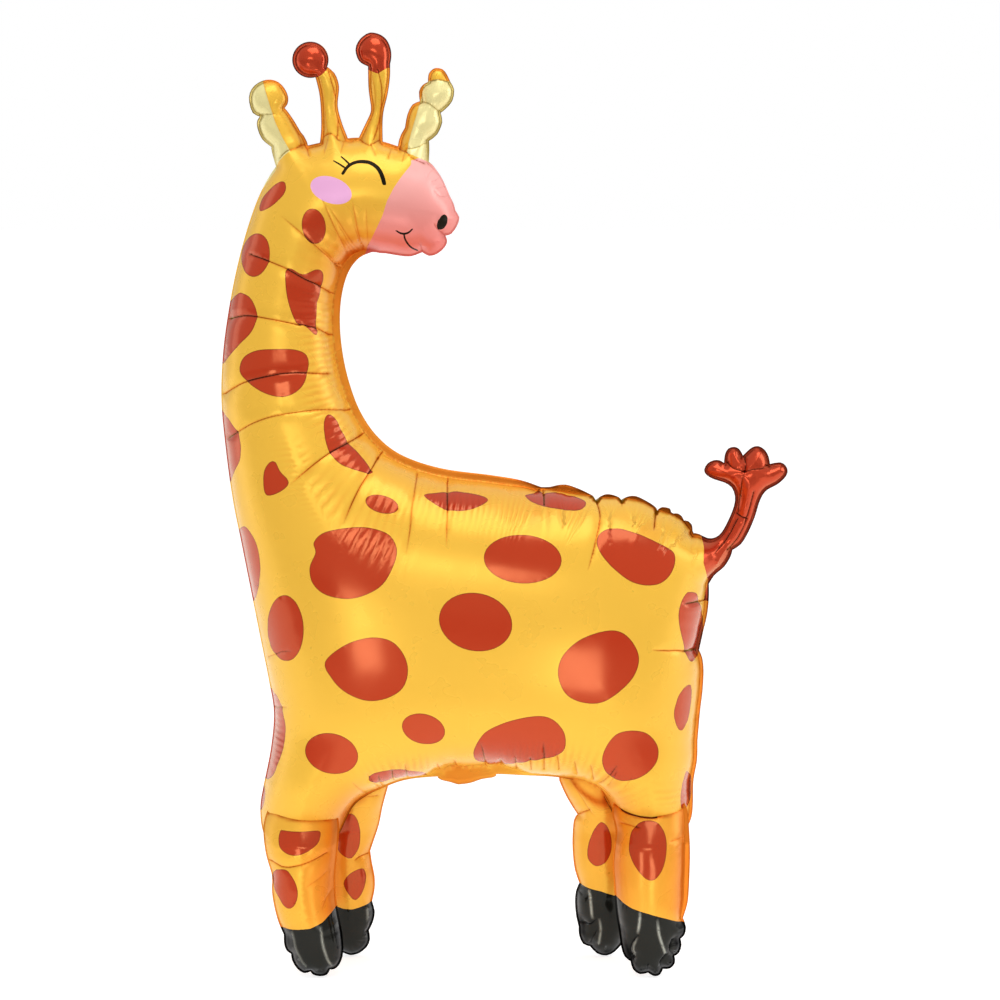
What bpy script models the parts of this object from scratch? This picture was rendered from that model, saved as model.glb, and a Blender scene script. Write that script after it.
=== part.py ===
# Standing giraffe balloon of foil: two welded sheets blown up to one hollow
# figure, with four blown legs. The sealed skin is modelled as one solid.
#
# Frame: +Z up, the neck on the -X side, the rump and tail on the +X side. The
# weld that joins the two sheets lies in the plane y = 0. The origin is on the
# floor, midway between the ends of the figure.

import math

import bpy
import numpy as np
from mathutils import Vector
from mathutils.geometry import delaunay_2d_cdt

# Sizes in metres
HEIGHT = 1.02                # soles to the top of the taller horn
BELLY_MARGIN = 0.008         # welded margin along back, throat and belly
CHEST_MARGIN = 0.0025        # margin down the chest, where it rolls behind
TRIM_MARGIN = 0.0035         # margin round ears, horns and tail
TAB_LENGTH = 0.062           # filling tab under the belly
TAB_DROP = 0.009
MARGIN_THICKNESS = 0.0014    # both sheets, welded flat
LEG_MARGIN = 0.0025          # margin down the front and back of a leg
THICKEST = 0.135             # half thickness where the body starts to flatten
FLATTENING = 0.18            # share that the body loses at that thickness
HIP_SWELL = 0.016            # extra half thickness over the tops of the legs
HIP_REACH = 0.085            # how far that swell spreads
HIP_SPREAD = 0.084           # near leg to far leg, centres, at the hips
FOOT_SPREAD = 0.122          # near leg to far leg, centres, at the soles
FOOT_LENGTH = 0.036          # flat sole, heel to toe
FOOT_WIDTH = 0.020           # flat sole, side to side
LEG_HALF_LENGTH = 0.0345     # leg from its middle to its front
LEG_HALF_WIDTH = 0.0300      # leg from its middle to its side
LEG_TOP = 0.225              # closed upper end of a leg, inside the body

# Fineness of the faceted skin
BODY_STEP = 0.0130
TRIM_STEP = 0.0060
CORNER_TURN = math.radians(48)
LATTICE_STEP = 0.026
EDGE_LATTICE_STEP = 0.0125
SIDES_PER_HALF_LEG = 8

# Outline of body, neck and head, as thousandths of the height
FRONT = [(-256, 161), (-259, 191), (-250, 236), (-247, 275), (-259, 348), (-271, 407),
         (-281, 460), (-289, 503), (-297, 557), (-301, 610), (-299, 658), (-294, 701),
         (-285, 746), (-273, 791), (-258, 831), (-238, 863), (-211, 880)]
HEAD = [(-179, 886), (-148, 888), (-110, 879), (-81, 864), (-68, 848), (-60, 829),
        (-57, 812), (-64, 795), (-77, 776), (-95, 766), (-119, 764), (-140, 768)]
THROAT = [(-154, 761), (-166, 745), (-173, 720), (-175, 690), (-172, 658), (-164, 626),
          (-152, 596), (-134, 571), (-109, 551), (-68, 538), (-15, 529)]
BACK = [(38, 521), (92, 514), (145, 504), (179, 492), (202, 468), (214, 439), (217, 404),
        (214, 369), (209, 342), (211, 318), (209, 288), (205, 250), (201, 207), (202, 180)]
UNDER = [(189, 161), (162, 161), (130, 174), (103, 189), (73, 202), (28, 206), (-26, 207),
         (-79, 206), (-117, 201), (-149, 188), (-182, 165), (-214, 150), (-241, 150)]

# Limbs in the weld plane: middle line and half width, thousandths of the height
LEFT_EAR = [(-226, 868, 19), (-234, 893, 20), (-243, 918, 20), (-250, 937, 19), (-253, 945, 15)]
RIGHT_EAR = [(-99, 868, 17), (-90, 893, 19), (-80, 918, 20), (-72, 938, 17), (-68, 949, 13)]
LEFT_HORN = [(-181, 878, 19), (-184, 900, 11), (-187, 925, 9), (-193, 950, 7.5), (-205, 971, 7)]
RIGHT_HORN = [(-141, 876, 16), (-138, 900, 10), (-134, 925, 10), (-133, 955, 11), (-137, 970, 10)]
HORN_BALLS = [(-205, 970, 18.5), (-138, 981, 19)]
TAIL = [(203, 442, 17), (220, 449, 15), (239, 463, 14), (251, 485, 14), (258, 508, 14)]
TAIL_ROOT_OF_TUFT = (258, 517)
TUFT_LOBES = [(226, 536, 11), (243, 549, 10.5), (270, 549, 11), (291, 534, 10.5)]
MUZZLE_LOBES = [(-62, 806, 11), (-66, 792, 10), (-80, 782, 14), (-104, 774, 13)]
TAB_MIDDLE = -39
BELLY_LINE = 207

# Legs: middle line going up from the sole, x and z in thousandths of the height
NEAR_FRONT_LEG = [(-197, 0), (-203, 38), (-213, 81), (-217, 124), (-212, 188)]
FAR_FRONT_LEG = [(-167, 0), (-172, 40), (-171, 84), (-174, 117), (-166, 188)]
NEAR_HIND_LEG = [(158, 0), (157, 27), (157, 60), (157, 124), (155, 188)]
FAR_HIND_LEG = [(110, 0), (109, 40), (110, 84), (108, 117), (108, 188)]

# Leg thickness: height above the sole or depth below the leg's top in metres,
# then the share of the half length and of the half width
SOLE_ROUNDING = [(0.004, 0.70, 0.56), (0.014, 0.89, 0.82), (0.034, 0.98, 0.97), (0.060, 0.96, 1.00)]
TOP_ROUNDING = [(0.120, 0.99, 1.03), (0.080, 1.05, 1.02), (0.045, 1.00, 0.90), (0.020, 0.84, 0.70),
                (0.0, 0.50, 0.30)]


def clear_scene():
    for item in list(bpy.data.objects):
        bpy.data.objects.remove(item, do_unlink=True)


def smooth_path(points, closed, steps):
    # a curve through the points, each segment cut into the same number of steps
    pts = np.array(points, dtype=float)
    count = len(pts)
    segments = count if closed else count - 1
    path = []
    for i in range(segments):
        if closed:
            a, b, c, d = (pts[(i + k) % count] for k in (-1, 0, 1, 2))
        else:
            a, b, c, d = (pts[min(max(i + k, 0), count - 1)] for k in (-1, 0, 1, 2))
        for t in np.arange(steps) / steps:
            path.append(0.5 * (2 * b + (c - a) * t + (2 * a - 5 * b + 4 * c - d) * t * t
                               + (3 * b - a - 3 * c + d) * t ** 3))
    if not closed:
        path.append(pts[-1])
    return np.array(path)


def share(values):
    return np.array(values, dtype=float) * HEIGHT / 1000


def with_margin(points, margin):
    return np.column_stack([points, np.full(len(points), margin)])


def body_outline():
    # x, z and margin width in one curve, so that the margin widens gradually
    front = with_margin(share(FRONT), CHEST_MARGIN)
    rest = with_margin(share(HEAD + THROAT + BACK + UNDER), BELLY_MARGIN)
    return smooth_path(np.vstack([front, rest]), True, 6)


def limb_outline(line):
    # a tapering tongue round its middle line, with a round end
    path = smooth_path(share(line), False, 5)
    mid, half = path[:, :2], path[:, 2]
    along = np.gradient(mid, axis=0)
    along /= np.linalg.norm(along, axis=1)[:, None]
    side = np.column_stack([-along[:, 1], along[:, 0]])
    left = mid + side * half[:, None]
    right = mid - side * half[:, None]
    turns = np.linspace(0, math.pi, 7)[1:-1]
    tip = [mid[-1] + half[-1] * (side[-1] * math.cos(a) + along[-1] * math.sin(a)) for a in turns]
    return with_margin(np.vstack([left, tip, right[::-1]]), TRIM_MARGIN)


def disc_outline(centre_x, centre_z, radius, margin):
    x, z, r = share((centre_x, centre_z, radius))
    turns = np.linspace(0, 2 * math.pi, 20, endpoint=False)
    return with_margin(np.column_stack([x + r * np.cos(turns), z + r * np.sin(turns)]), margin)


def tab_outline():
    x, z = share((TAB_MIDDLE, BELLY_LINE))
    foot = z - TAB_DROP
    inside = z + BELLY_MARGIN
    half = TAB_LENGTH / 2
    corners = [(x - half, inside), (x - half, z), (x - half / 2, foot), (x + half / 2, foot),
               (x + half, z), (x + half, inside)]
    return with_margin(np.array(corners), BELLY_MARGIN + TAB_DROP)


def sheet_shapes():
    shapes = [body_outline(), tab_outline()]
    shapes += [limb_outline(line) for line in (LEFT_EAR, RIGHT_EAR, LEFT_HORN, RIGHT_HORN, TAIL)]
    for lobe in TUFT_LOBES:
        shapes.append(limb_outline([TAIL_ROOT_OF_TUFT + (10,), lobe]))
    shapes += [disc_outline(*ball, TRIM_MARGIN) for ball in HORN_BALLS]
    shapes += [disc_outline(*lobe, TRIM_MARGIN) for lobe in MUZZLE_LOBES]
    return shapes


def triangulate(points, edges, faces, kind):
    result = delaunay_2d_cdt([Vector(p) for p in points], edges, faces, kind, 1e-6)
    return np.array([tuple(v) for v in result[0]]), [tuple(f) for f in result[2]]


def union_loop(shapes):
    # the outer edge of all the shapes together, as one closed loop
    points, faces = [], []
    for shape in shapes:
        faces.append(list(range(len(points), len(points) + len(shape))))
        points += [tuple(p[:2]) for p in shape]
    verts, tris = triangulate(points, [], faces, 1)
    following = {}
    directed = {(t[k], t[(k + 1) % 3]) for t in tris for k in range(3)}
    for a, b in directed:
        if (b, a) not in directed:
            following[a] = b
    loops = []
    while following:
        start = next(iter(following))
        loop, at = [], start
        while at in following:
            loop.append(at)
            at = following.pop(at)
        loops.append(verts[loop])
    return max(loops, key=lambda loop: abs(signed_area(loop)))


def signed_area(loop):
    nxt = np.roll(loop, -1, axis=0)
    return 0.5 * np.sum(loop[:, 0] * nxt[:, 1] - nxt[:, 0] * loop[:, 1])


def nearest_margin(points, shapes):
    known = np.vstack(shapes)
    gap = np.linalg.norm(points[:, None, :] - known[None, :, :2], axis=2)
    return known[np.argmin(gap, axis=1), 2]


def loop_steps(points, shapes):
    # fine steps on ears, horns, tail and muzzle, longer ones elsewhere
    trim = np.vstack(shapes[2:])[:, :2]
    gap = np.linalg.norm(points[:, None, :] - trim[None, :, :], axis=2).min(axis=1)
    return np.where(gap < TRIM_STEP, TRIM_STEP, BODY_STEP)


def resampled_loop(loop, shapes):
    # even steps between the sharp notches, which stay where they are
    into = loop - np.roll(loop, 1, axis=0)
    out = np.roll(loop, -1, axis=0) - loop
    turn = np.abs(np.arctan2(into[:, 0] * out[:, 1] - into[:, 1] * out[:, 0],
                             np.sum(into * out, axis=1)))
    corners = np.flatnonzero(turn > CORNER_TURN)
    fresh = []
    for a, b in zip(corners, np.append(corners[1:], corners[0] + len(loop))):
        part = loop[np.arange(a, b + 1) % len(loop)]
        length = np.linalg.norm(np.diff(part, axis=0), axis=1)
        steps = loop_steps(part, shapes)
        density = np.concatenate([[0], np.cumsum(length / (0.5 * (steps[1:] + steps[:-1])))])
        count = max(1, round(density[-1]))
        at = np.arange(count) * density[-1] / count
        fresh.append(np.column_stack([np.interp(at, density, part[:, k]) for k in (0, 1)]))
    return np.vstack(fresh)


def edge_distance(points, loop):
    a = loop
    d = np.roll(loop, -1, axis=0) - a
    rel = points[:, None, :] - a[None]
    t = np.clip(np.sum(rel * d, axis=2) / np.sum(d * d, axis=1), 0, 1)
    return np.linalg.norm(rel - t[..., None] * d, axis=2).min(axis=1)


def inner_ring(loop, inset):
    # the loop moved inward, without the points that crowd another stretch of it
    along = np.roll(loop, -1, axis=0) - np.roll(loop, 1, axis=0)
    along /= np.linalg.norm(along, axis=1)[:, None]
    moved = loop + np.column_stack([-along[:, 1], along[:, 0]]) * inset[:, None]
    return moved[edge_distance(moved, loop) > 0.94 * inset]


def inside_loop(points, loop):
    x, z = points[:, 0][:, None], points[:, 1][:, None]
    ax, az = loop[:, 0], loop[:, 1]
    bx, bz = np.roll(ax, -1), np.roll(az, -1)
    spans = (az > z) != (bz > z)
    rise = np.where(bz == az, 1.0, bz - az)
    return (np.sum(spans & (x < ax + (z - az) * (bx - ax) / rise), axis=1) % 2) == 1


def lattice(loop, step, nearest, farthest):
    low, high = loop.min(axis=0), loop.max(axis=0)
    rows = np.arange(low[1], high[1], step * math.sqrt(0.75))
    points = np.array([(x + (i % 2) * step / 2, z) for i, z in enumerate(rows)
                       for x in np.arange(low[0], high[0], step)])
    points = points[inside_loop(points, loop)]
    gap = edge_distance(points, loop)
    return points[(gap > nearest) & (gap < farthest)]


def sheet_mesh(shapes):
    # flat triangles over the whole outline, and which points lie in the margin
    loop = resampled_loop(union_loop(shapes), shapes)
    if signed_area(loop) < 0:
        loop = loop[::-1]
    margin = nearest_margin(loop, shapes)
    for _ in range(4):
        margin = (np.roll(margin, 1) + margin + np.roll(margin, -1)) / 3
    root = inner_ring(loop, margin)
    shoulder = inner_ring(loop, margin + 0.0055)
    wide = BELLY_MARGIN + 0.0105
    inner = np.vstack([lattice(loop, EDGE_LATTICE_STEP, wide - 0.0045, 0.034),
                       lattice(loop, LATTICE_STEP, 0.034, 1.0)])
    points = np.vstack([loop, root, shoulder, inner])
    count, rooted = len(loop), len(loop) + len(root)
    edges = [(i, (i + 1) % count) for i in range(count)]
    edges += [(count + i, count + (i + 1) % len(root)) for i in range(len(root))]
    verts, tris = triangulate(points, edges, [], 0)
    middles = np.array([verts[list(t)].mean(axis=0) for t in tris])
    tris = [t for t, keep in zip(tris, inside_loop(middles, loop)) if keep]
    # the margin ends at its root; points past the given ones lie where its root crosses itself
    flat = np.ones(len(verts), dtype=bool)
    flat[rooted:len(points)] = False
    return verts, tris, flat, count


def blown_height(verts, tris, flat):
    # a membrane under even load gives the plan of a blown pillow: the square
    # root of its sag makes narrow stretches round and wide ones full
    size = len(verts)
    stiffness = np.zeros((size, size))
    load = np.zeros(size)
    for tri in tris:
        p = verts[list(tri)]
        e = np.array([p[2] - p[1], p[0] - p[2], p[1] - p[0]])
        area = 0.5 * abs(e[0][0] * e[1][1] - e[0][1] * e[1][0])
        stiffness[np.ix_(tri, tri)] += e @ e.T / (4 * area)
        load[list(tri)] += area / 3
    free = np.flatnonzero(~flat)
    sag = np.zeros(size)
    sag[free] = np.linalg.solve(stiffness[np.ix_(free, free)], load[free])
    height = np.sqrt(2 * np.maximum(sag, 0))
    return height * (1 - FLATTENING * (height / THICKEST) ** 2)


def hip_swell(verts, height):
    # the body bulges over the top of each near and far leg pair
    swell = np.zeros(len(verts))
    for line in (NEAR_FRONT_LEG, NEAR_HIND_LEG):
        x, z = share(line[-1])
        gap = np.hypot(verts[:, 0] - x, verts[:, 1] - z)
        swell += HIP_SWELL * np.cos(np.clip(gap / HIP_REACH, 0, 1) * math.pi / 2) ** 2
    return height + swell * np.clip(height / 0.03, 0, 1)


def skin_mesh(shift):
    verts, tris, flat, count = sheet_mesh(sheet_shapes())
    height = hip_swell(verts, blown_height(verts, tris, flat)) + MARGIN_THICKNESS / 2
    size = len(verts)
    near = [(x + shift, -h, z) for (x, z), h in zip(verts, height)]
    far = [(x + shift, h, z) for (x, z), h in zip(verts, height)]
    faces = [(a, b, c) for a, b, c in tris]
    faces += [(c + size, b + size, a + size) for a, b, c in tris]
    for i in range(count):
        j = (i + 1) % count
        faces.append((j, i, i + size, j + size))
    mesh = bpy.data.meshes.new("skin")
    mesh.from_pydata(near + far, [], faces)
    mesh.validate()
    return mesh


def leg_ring(x, y, z, half_length, half_width, margin):
    edge = MARGIN_THICKNESS / 2
    turns = np.linspace(0, math.pi, SIDES_PER_HALF_LEG + 1)
    side = [(half_length * math.cos(a), max(half_width * math.sin(a), edge)) for a in turns]
    side = [(half_length + margin, edge)] + side + [(-half_length - margin, edge)]
    around = side + [(-u, -v) for u, v in side]
    return [(x + u, y + v, z) for u, v in around]


def leg_mesh(line, side, shift):
    # rings up the leg from the flat sole to a closed end inside the body
    path = share(line)
    rounding = SOLE_ROUNDING + [(LEG_TOP - depth, a, b) for depth, a, b in TOP_ROUNDING]
    stations = [(0.0, FOOT_LENGTH / 2, FOOT_WIDTH / 2)]
    stations += [(z, LEG_HALF_LENGTH * a, LEG_HALF_WIDTH * b) for z, a, b in rounding]
    verts = []
    for z, half_length, half_width in stations:
        x = np.interp(z, path[:, 1], path[:, 0]) + shift
        spread = np.interp(z, [0, path[-1, 1]], [FOOT_SPREAD, HIP_SPREAD])
        verts += leg_ring(x, side * spread / 2, z, half_length, half_width, LEG_MARGIN)
    per_ring = len(verts) // len(stations)
    faces = [tuple(reversed(range(per_ring)))]
    for ring in range(len(stations) - 1):
        low, high = ring * per_ring, (ring + 1) * per_ring
        for i in range(per_ring):
            j = (i + 1) % per_ring
            faces.append((low + i, low + j, high + j, high + i))
    faces.append(tuple(range(len(verts) - per_ring, len(verts))))
    mesh = bpy.data.meshes.new("leg")
    mesh.from_pydata(verts, [], faces)
    mesh.validate()
    return mesh


def foil_material():
    foil = bpy.data.materials.new("printed_foil")
    foil.use_nodes = True
    surface = foil.node_tree.nodes["Principled BSDF"]
    surface.inputs["Base Color"].default_value = (0.93, 0.52, 0.07, 1.0)
    surface.inputs["Roughness"].default_value = 0.28
    surface.inputs["Metallic"].default_value = 0.6
    return foil


def add_object(name, mesh):
    item = bpy.data.objects.new(name, mesh)
    bpy.context.scene.collection.objects.link(item)
    return item


def build():
    clear_scene()
    ends = np.vstack(sheet_shapes())[:, 0]
    shift = -(ends.min() + ends.max()) / 2
    balloon = add_object("giraffe_foil_balloon", skin_mesh(shift))
    balloon.data.materials.append(foil_material())
    legs = [("near_front", NEAR_FRONT_LEG, -1), ("far_front", FAR_FRONT_LEG, 1),
            ("near_hind", NEAR_HIND_LEG, -1), ("far_hind", FAR_HIND_LEG, 1)]
    for name, line, side in legs:
        leg = add_object("leg_" + name, leg_mesh(line, side, shift))
        leg.hide_render = True
        leg.display_type = "WIRE"
        union = balloon.modifiers.new("join_" + name, "BOOLEAN")
        union.operation = "UNION"
        union.solver = "EXACT"
        union.object = leg


build()
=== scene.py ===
import math

import bpy
import numpy as np
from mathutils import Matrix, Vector
from mathutils.geometry import delaunay_2d_cdt
from mathutils.kdtree import KDTree


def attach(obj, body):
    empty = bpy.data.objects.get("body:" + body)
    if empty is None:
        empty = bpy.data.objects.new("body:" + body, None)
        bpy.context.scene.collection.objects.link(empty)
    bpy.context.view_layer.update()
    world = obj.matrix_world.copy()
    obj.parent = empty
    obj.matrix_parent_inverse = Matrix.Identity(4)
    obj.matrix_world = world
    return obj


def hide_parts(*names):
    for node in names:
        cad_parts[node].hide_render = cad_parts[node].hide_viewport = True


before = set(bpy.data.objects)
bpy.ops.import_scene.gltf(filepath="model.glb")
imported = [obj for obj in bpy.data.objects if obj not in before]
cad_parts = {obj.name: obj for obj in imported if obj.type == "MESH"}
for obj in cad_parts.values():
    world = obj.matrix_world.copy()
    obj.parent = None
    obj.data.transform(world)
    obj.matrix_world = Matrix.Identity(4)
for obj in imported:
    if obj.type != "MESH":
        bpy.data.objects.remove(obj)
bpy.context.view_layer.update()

nodeName = "giraffe_foil_balloon"

# where the photograph was taken from; every pixel below is in its 1000 x 1000 frame
photo = {
    "elevation": 4.5,        # degrees above level
    "distance": 4.5,         # m, camera to the aim point
    "pixelsPerRadian": 4132,
    "aimX": -0.0044,
    "aimZ": 0.5133,
    "frame": 1000,
}


def unproject(points, y=0.0):
    # photograph pixels to (x, z) on the upright plane at depth y
    px, py = np.array(points, dtype=float)[:, :2].T
    tilt = math.radians(photo["elevation"])
    s, c = math.sin(tilt), math.cos(tilt)
    half = photo["frame"] / 2
    q = (half - py) / photo["pixelsPerRadian"]
    up = (q * (photo["distance"] + y * c) - y * s) / (c + q * s)
    depth = photo["distance"] + y * c - up * s
    x = (px - half) * depth / photo["pixelsPerRadian"] + photo["aimX"]
    return np.column_stack([x, up + photo["aimZ"]])


def addCamera():
    tilt = math.radians(photo["elevation"])
    lens = bpy.data.cameras.new("photoCamera")
    lens.sensor_width = 36
    lens.lens = photo["pixelsPerRadian"] / photo["frame"] * lens.sensor_width
    camera = bpy.data.objects.new("photoCamera", lens)
    camera.location = (photo["aimX"], -photo["distance"] * math.cos(tilt),
                       photo["aimZ"] + photo["distance"] * math.sin(tilt))
    camera.rotation_euler = (math.pi / 2 - tilt, 0, 0)
    bpy.context.scene.collection.objects.link(camera)
    bpy.context.scene.camera = camera


addCamera()
print("camera set")


# Curves in the photograph's plane
def smoothRun(points, step=4):
    # an open curve through the points, cut every few pixels
    pts = np.array(points, dtype=float)
    if len(pts) < 3:
        return pts
    last = len(pts) - 1
    path = []
    for i in range(last):
        a, b, c, d = (pts[min(max(i + k, 0), last)] for k in (-1, 0, 1, 2))
        cuts = max(2, int(np.linalg.norm((c - b)[:2]) / step))
        for t in np.arange(cuts) / cuts:
            path.append(0.5 * (2 * b + (c - a) * t + (2 * a - 5 * b + 4 * c - d) * t * t
                               + (3 * b - a - 3 * c + d) * t ** 3))
    path.append(pts[-1])
    return np.array(path)


def smoothRing(points, step=3):
    # the same for a closed curve
    pts = [tuple(p) for p in points]
    run = smoothRun([pts[-2], pts[-1]] + pts + [pts[0], pts[1]], step)
    ends = np.flatnonzero(np.linalg.norm(run - np.array(pts[0]), axis=1) < 1e-6)
    return run[ends[0]:ends[-1]]


def joinRuns(runs):
    # curves that meet in a sharp notch
    return np.vstack([smoothRun(run)[:-1] for run in runs] + [np.array([runs[-1][-1]], dtype=float)])


def ellipse(centre, radii, tilt=0.0, count=36):
    turns = np.linspace(0, 2 * math.pi, count, endpoint=False)
    u, v = radii[0] * np.cos(turns), radii[1] * np.sin(turns)
    a = math.radians(tilt)
    return np.column_stack([centre[0] + u * math.cos(a) - v * math.sin(a),
                            centre[1] + u * math.sin(a) + v * math.cos(a)])


def stroke(points, widths):
    # a drawn line with round ends, its width changing along it
    path = smoothRun([tuple(p) + (w / 2,) for p, w in zip(points, widths)], 2)
    mid, half = path[:, :2], path[:, 2]
    along = np.gradient(mid, axis=0)
    along /= np.linalg.norm(along, axis=1)[:, None]
    side = np.column_stack([-along[:, 1], along[:, 0]])

    def cap(i, sign):
        turns = np.linspace(0, math.pi, 6)[1:-1]
        return [mid[i] + half[i] * (sign * side[i] * math.cos(a) + sign * along[i] * math.sin(a))
                for a in turns]
    return np.vstack([mid + side * half[:, None], cap(-1, 1), (mid - side * half[:, None])[::-1],
                      cap(0, -1)])


# The outline of the welded sheets: body, neck and head, then what grows from them
outline = {
    "front": [(267, 845), (261.5, 825), (260.5, 805), (263.5, 786), (271, 748), (274, 712),
              (269, 680), (262, 645), (251, 590), (241, 540), (233, 500), (226, 450), (221.5, 400),
              (223, 355), (228, 315), (236, 272), (247, 230), (261, 192), (280, 162), (305, 146)],
    "crown": [(305, 146), (335, 140), (365, 138), (400, 147), (428, 161), (440, 176), (446, 190)],
    "jaw": [(446, 190), (444, 215), (436, 238), (415, 252), (392, 253), (372, 252)],
    "throat": [(372, 252), (359, 258), (348, 273), (341.5, 297), (340, 325), (343, 355), (350, 385),
               (361, 413), (378, 437), (402, 455), (440, 468), (490, 475), (520, 480), (541, 487)],
    "rumpTop": [[(541, 487), (549.6, 487), (556, 485.5), (566, 484.6), (579.4, 489), (591.8, 495),
                 (597, 498.5)],
                [(597, 498.5), (603, 495), (609, 494), (617.6, 496.5), (621.7, 499.5)],
                [(621.7, 499.5), (627.5, 496.6), (635.8, 496), (647.4, 501.5), (654.9, 506.5),
                 (657.4, 510)],
                [(657.4, 510), (662, 507), (669.8, 508.4), (671, 512), (673.5, 513.5)],
                [(673.5, 513.5), (678, 513.5), (682, 516.5), (684, 520.5)],
                [(684, 520.5), (688, 521), (692, 525), (692.6, 531)]],
    "rump": [[(692.6, 531), (701, 548), (707, 570), (709, 590), (707.5, 612), (703, 632), (699, 650)],
             [(699, 650), (702, 657), (703.5, 670), (702.5, 690), (700, 712), (697.5, 740)],
             [(697.5, 740), (697, 760), (693.5, 780), (693, 800)],
             [(693, 800), (691.5, 817), (684, 834)]],
    "under": [(684, 834), (671, 843), (655, 846), (637, 842), (621, 829), (610, 808), (599, 790),
              (583, 782), (560, 777.5), (530, 775.5), (500, 774), (480, 775), (430, 777), (405, 780),
              (385, 787), (366, 796), (352, 808), (339, 834), (323, 854), (300, 862), (281, 858),
              (267, 845)],
    # where the skin meets the scalloped weld above the rump
    "rumpRoot": [(541, 488), (560, 490.5), (576, 493), (592.7, 495.5), (602.6, 497), (625.8, 498),
                 (642.4, 501.5), (657, 508.8), (675.6, 515.5), (685, 523), (691, 531)],
}
bodyPixels = joinRuns([outline["front"], outline["crown"], outline["jaw"], outline["throat"]]
                      + outline["rumpTop"] + outline["rump"] + [outline["under"]])

earLeft = joinRuns([[(281, 185), (277, 170), (272, 152), (271.5, 147)],
                    [(271.5, 147), (262, 139), (257.5, 128), (257.2, 121), (259.8, 116.6)],
                    [(259.8, 116.6), (252.8, 113), (249.2, 102), (249.8, 93), (254.5, 85.5),
                     (262.3, 80.8), (270.6, 79.6), (278.3, 82), (284.6, 88.5), (288.2, 97),
                     (287.5, 104), (284.6, 108)],
                    [(284.6, 108), (288, 112), (294.2, 121), (300.6, 131.9), (307, 142), (312, 170)]])
earRight = joinRuns([[(396, 165), (399, 140), (404.9, 127.8)],
                     [(404.9, 127.8), (407.4, 114.5), (412.4, 104.6), (419.8, 101.3)],
                     [(419.8, 101.3), (419, 91.3), (423, 84.7), (428, 82)],
                     [(428, 82), (428.6, 74), (433, 69), (437.2, 68), (443, 69.5), (447.2, 75),
                      (450.5, 82.2)],
                     [(450.5, 82.2), (454.2, 89.7), (452.2, 101.3), (445, 109.5), (440.6, 112.9)],
                     [(440.6, 112.9), (442.3, 122), (437.2, 134.4), (429, 141)],
                     [(429, 141), (429.3, 151), (428, 175)]])
hornLeft = joinRuns([[(316, 160), (320.3, 140), (321.2, 119.5), (319.5, 94.6), (314, 72)],
                     [(314, 72), (326, 66)],
                     [(326, 66), (334.4, 73), (339, 86.3), (337.7, 106), (341.9, 122.8),
                      (347, 136), (356, 160)]])
hornRight = joinRuns([[(350, 160), (359.3, 137), (366, 122.8), (371, 111), (370, 100),
                       (368.4, 86.3), (368, 60)],
                      [(368, 60), (390, 60)],
                      [(390, 60), (390, 76.4), (387.5, 94.6), (383.3, 112.9), (382.5, 132.8),
                       (384, 165)]])
hornBallLeft = ellipse((310.4, 59.8), (18.2, 18.2))
hornBallRight = smoothRing([(368, 66.4), (359, 61), (355.5, 50), (358, 42), (362.6, 36.6), (370, 32.5),
                            (380, 34.5), (387.5, 41), (391.3, 53), (389, 66), (379, 70)])
muzzle = joinRuns([[(400, 160), (425, 164), (433.9, 167.5), (440.6, 175.9), (445.5, 185.8), (449.7, 195.8)],
                   [(449.7, 195.8), (453.8, 204), (455.5, 210.7), (459.3, 217.3), (457.1, 225.6),
                    (451.3, 233.9), (445.5, 235.6)],
                   [(445.5, 235.6), (447.2, 241), (444.7, 247.2), (437.2, 253.8), (429, 255.8),
                    (422.3, 252.2)],
                   [(422.3, 252.2), (410.7, 256.3), (399, 255.5), (385.8, 253.3), (374.2, 251.6),
                    (365, 240)],
                   [(365, 240), (385, 190), (400, 160)]])
tail = joinRuns([[(685, 540), (694.8, 533), (707.6, 538), (715.3, 537.3), (721.6, 532.2), (728, 520.8),
                  (733.8, 506.7), (735, 496.5), (731.8, 487.6), (724.2, 482.5), (714, 479.3),
                  (706.3, 474.8), (704.2, 469.7), (707.6, 463.4), (714, 460.2), (720, 460.4),
                  (724, 463)],
                 [(724, 463), (724.8, 455), (728, 448.7), (734.4, 446.8), (739.5, 449.3),
                  (743, 455.5)],
                 [(743, 455.5), (747.1, 451.5), (752.2, 447.4), (758.6, 446.1), (765, 450),
                  (768.8, 457), (770, 464)],
                 [(770, 464), (780.3, 462.3), (786, 466), (787.7, 472.3), (784.1, 478.7),
                  (776.5, 485), (767.6, 489.5), (762.4, 495.3), (758.6, 504.2), (754.8, 517),
                  (748.4, 532.2), (740.8, 544.4), (732.5, 550)],
                 [(732.5, 550), (730.6, 556.5), (724.2, 566.7), (714, 575.6), (705, 588),
                  (690, 590)]])
fillingTab = joinRuns([[(438, 765), (438, 778), (450, 782), (458, 784.5)],
                       [(458, 784.5), (470, 783), (482, 779), (496, 776), (496, 765)]])

# margin widths in metres: round the small limbs, down the chest and elsewhere
margins = {"trim": 0.0027, "ball": 0.0036, "muzzle": 0.0016, "chest": 0.0008, "crown": 0.0030,
           "throat": 0.0082, "back": 0.0078, "rump": 0.0042, "under": 0.0020, "tab": 0.020,
           "hoof": 0.0016}
weldThickness = 0.0009

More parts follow.
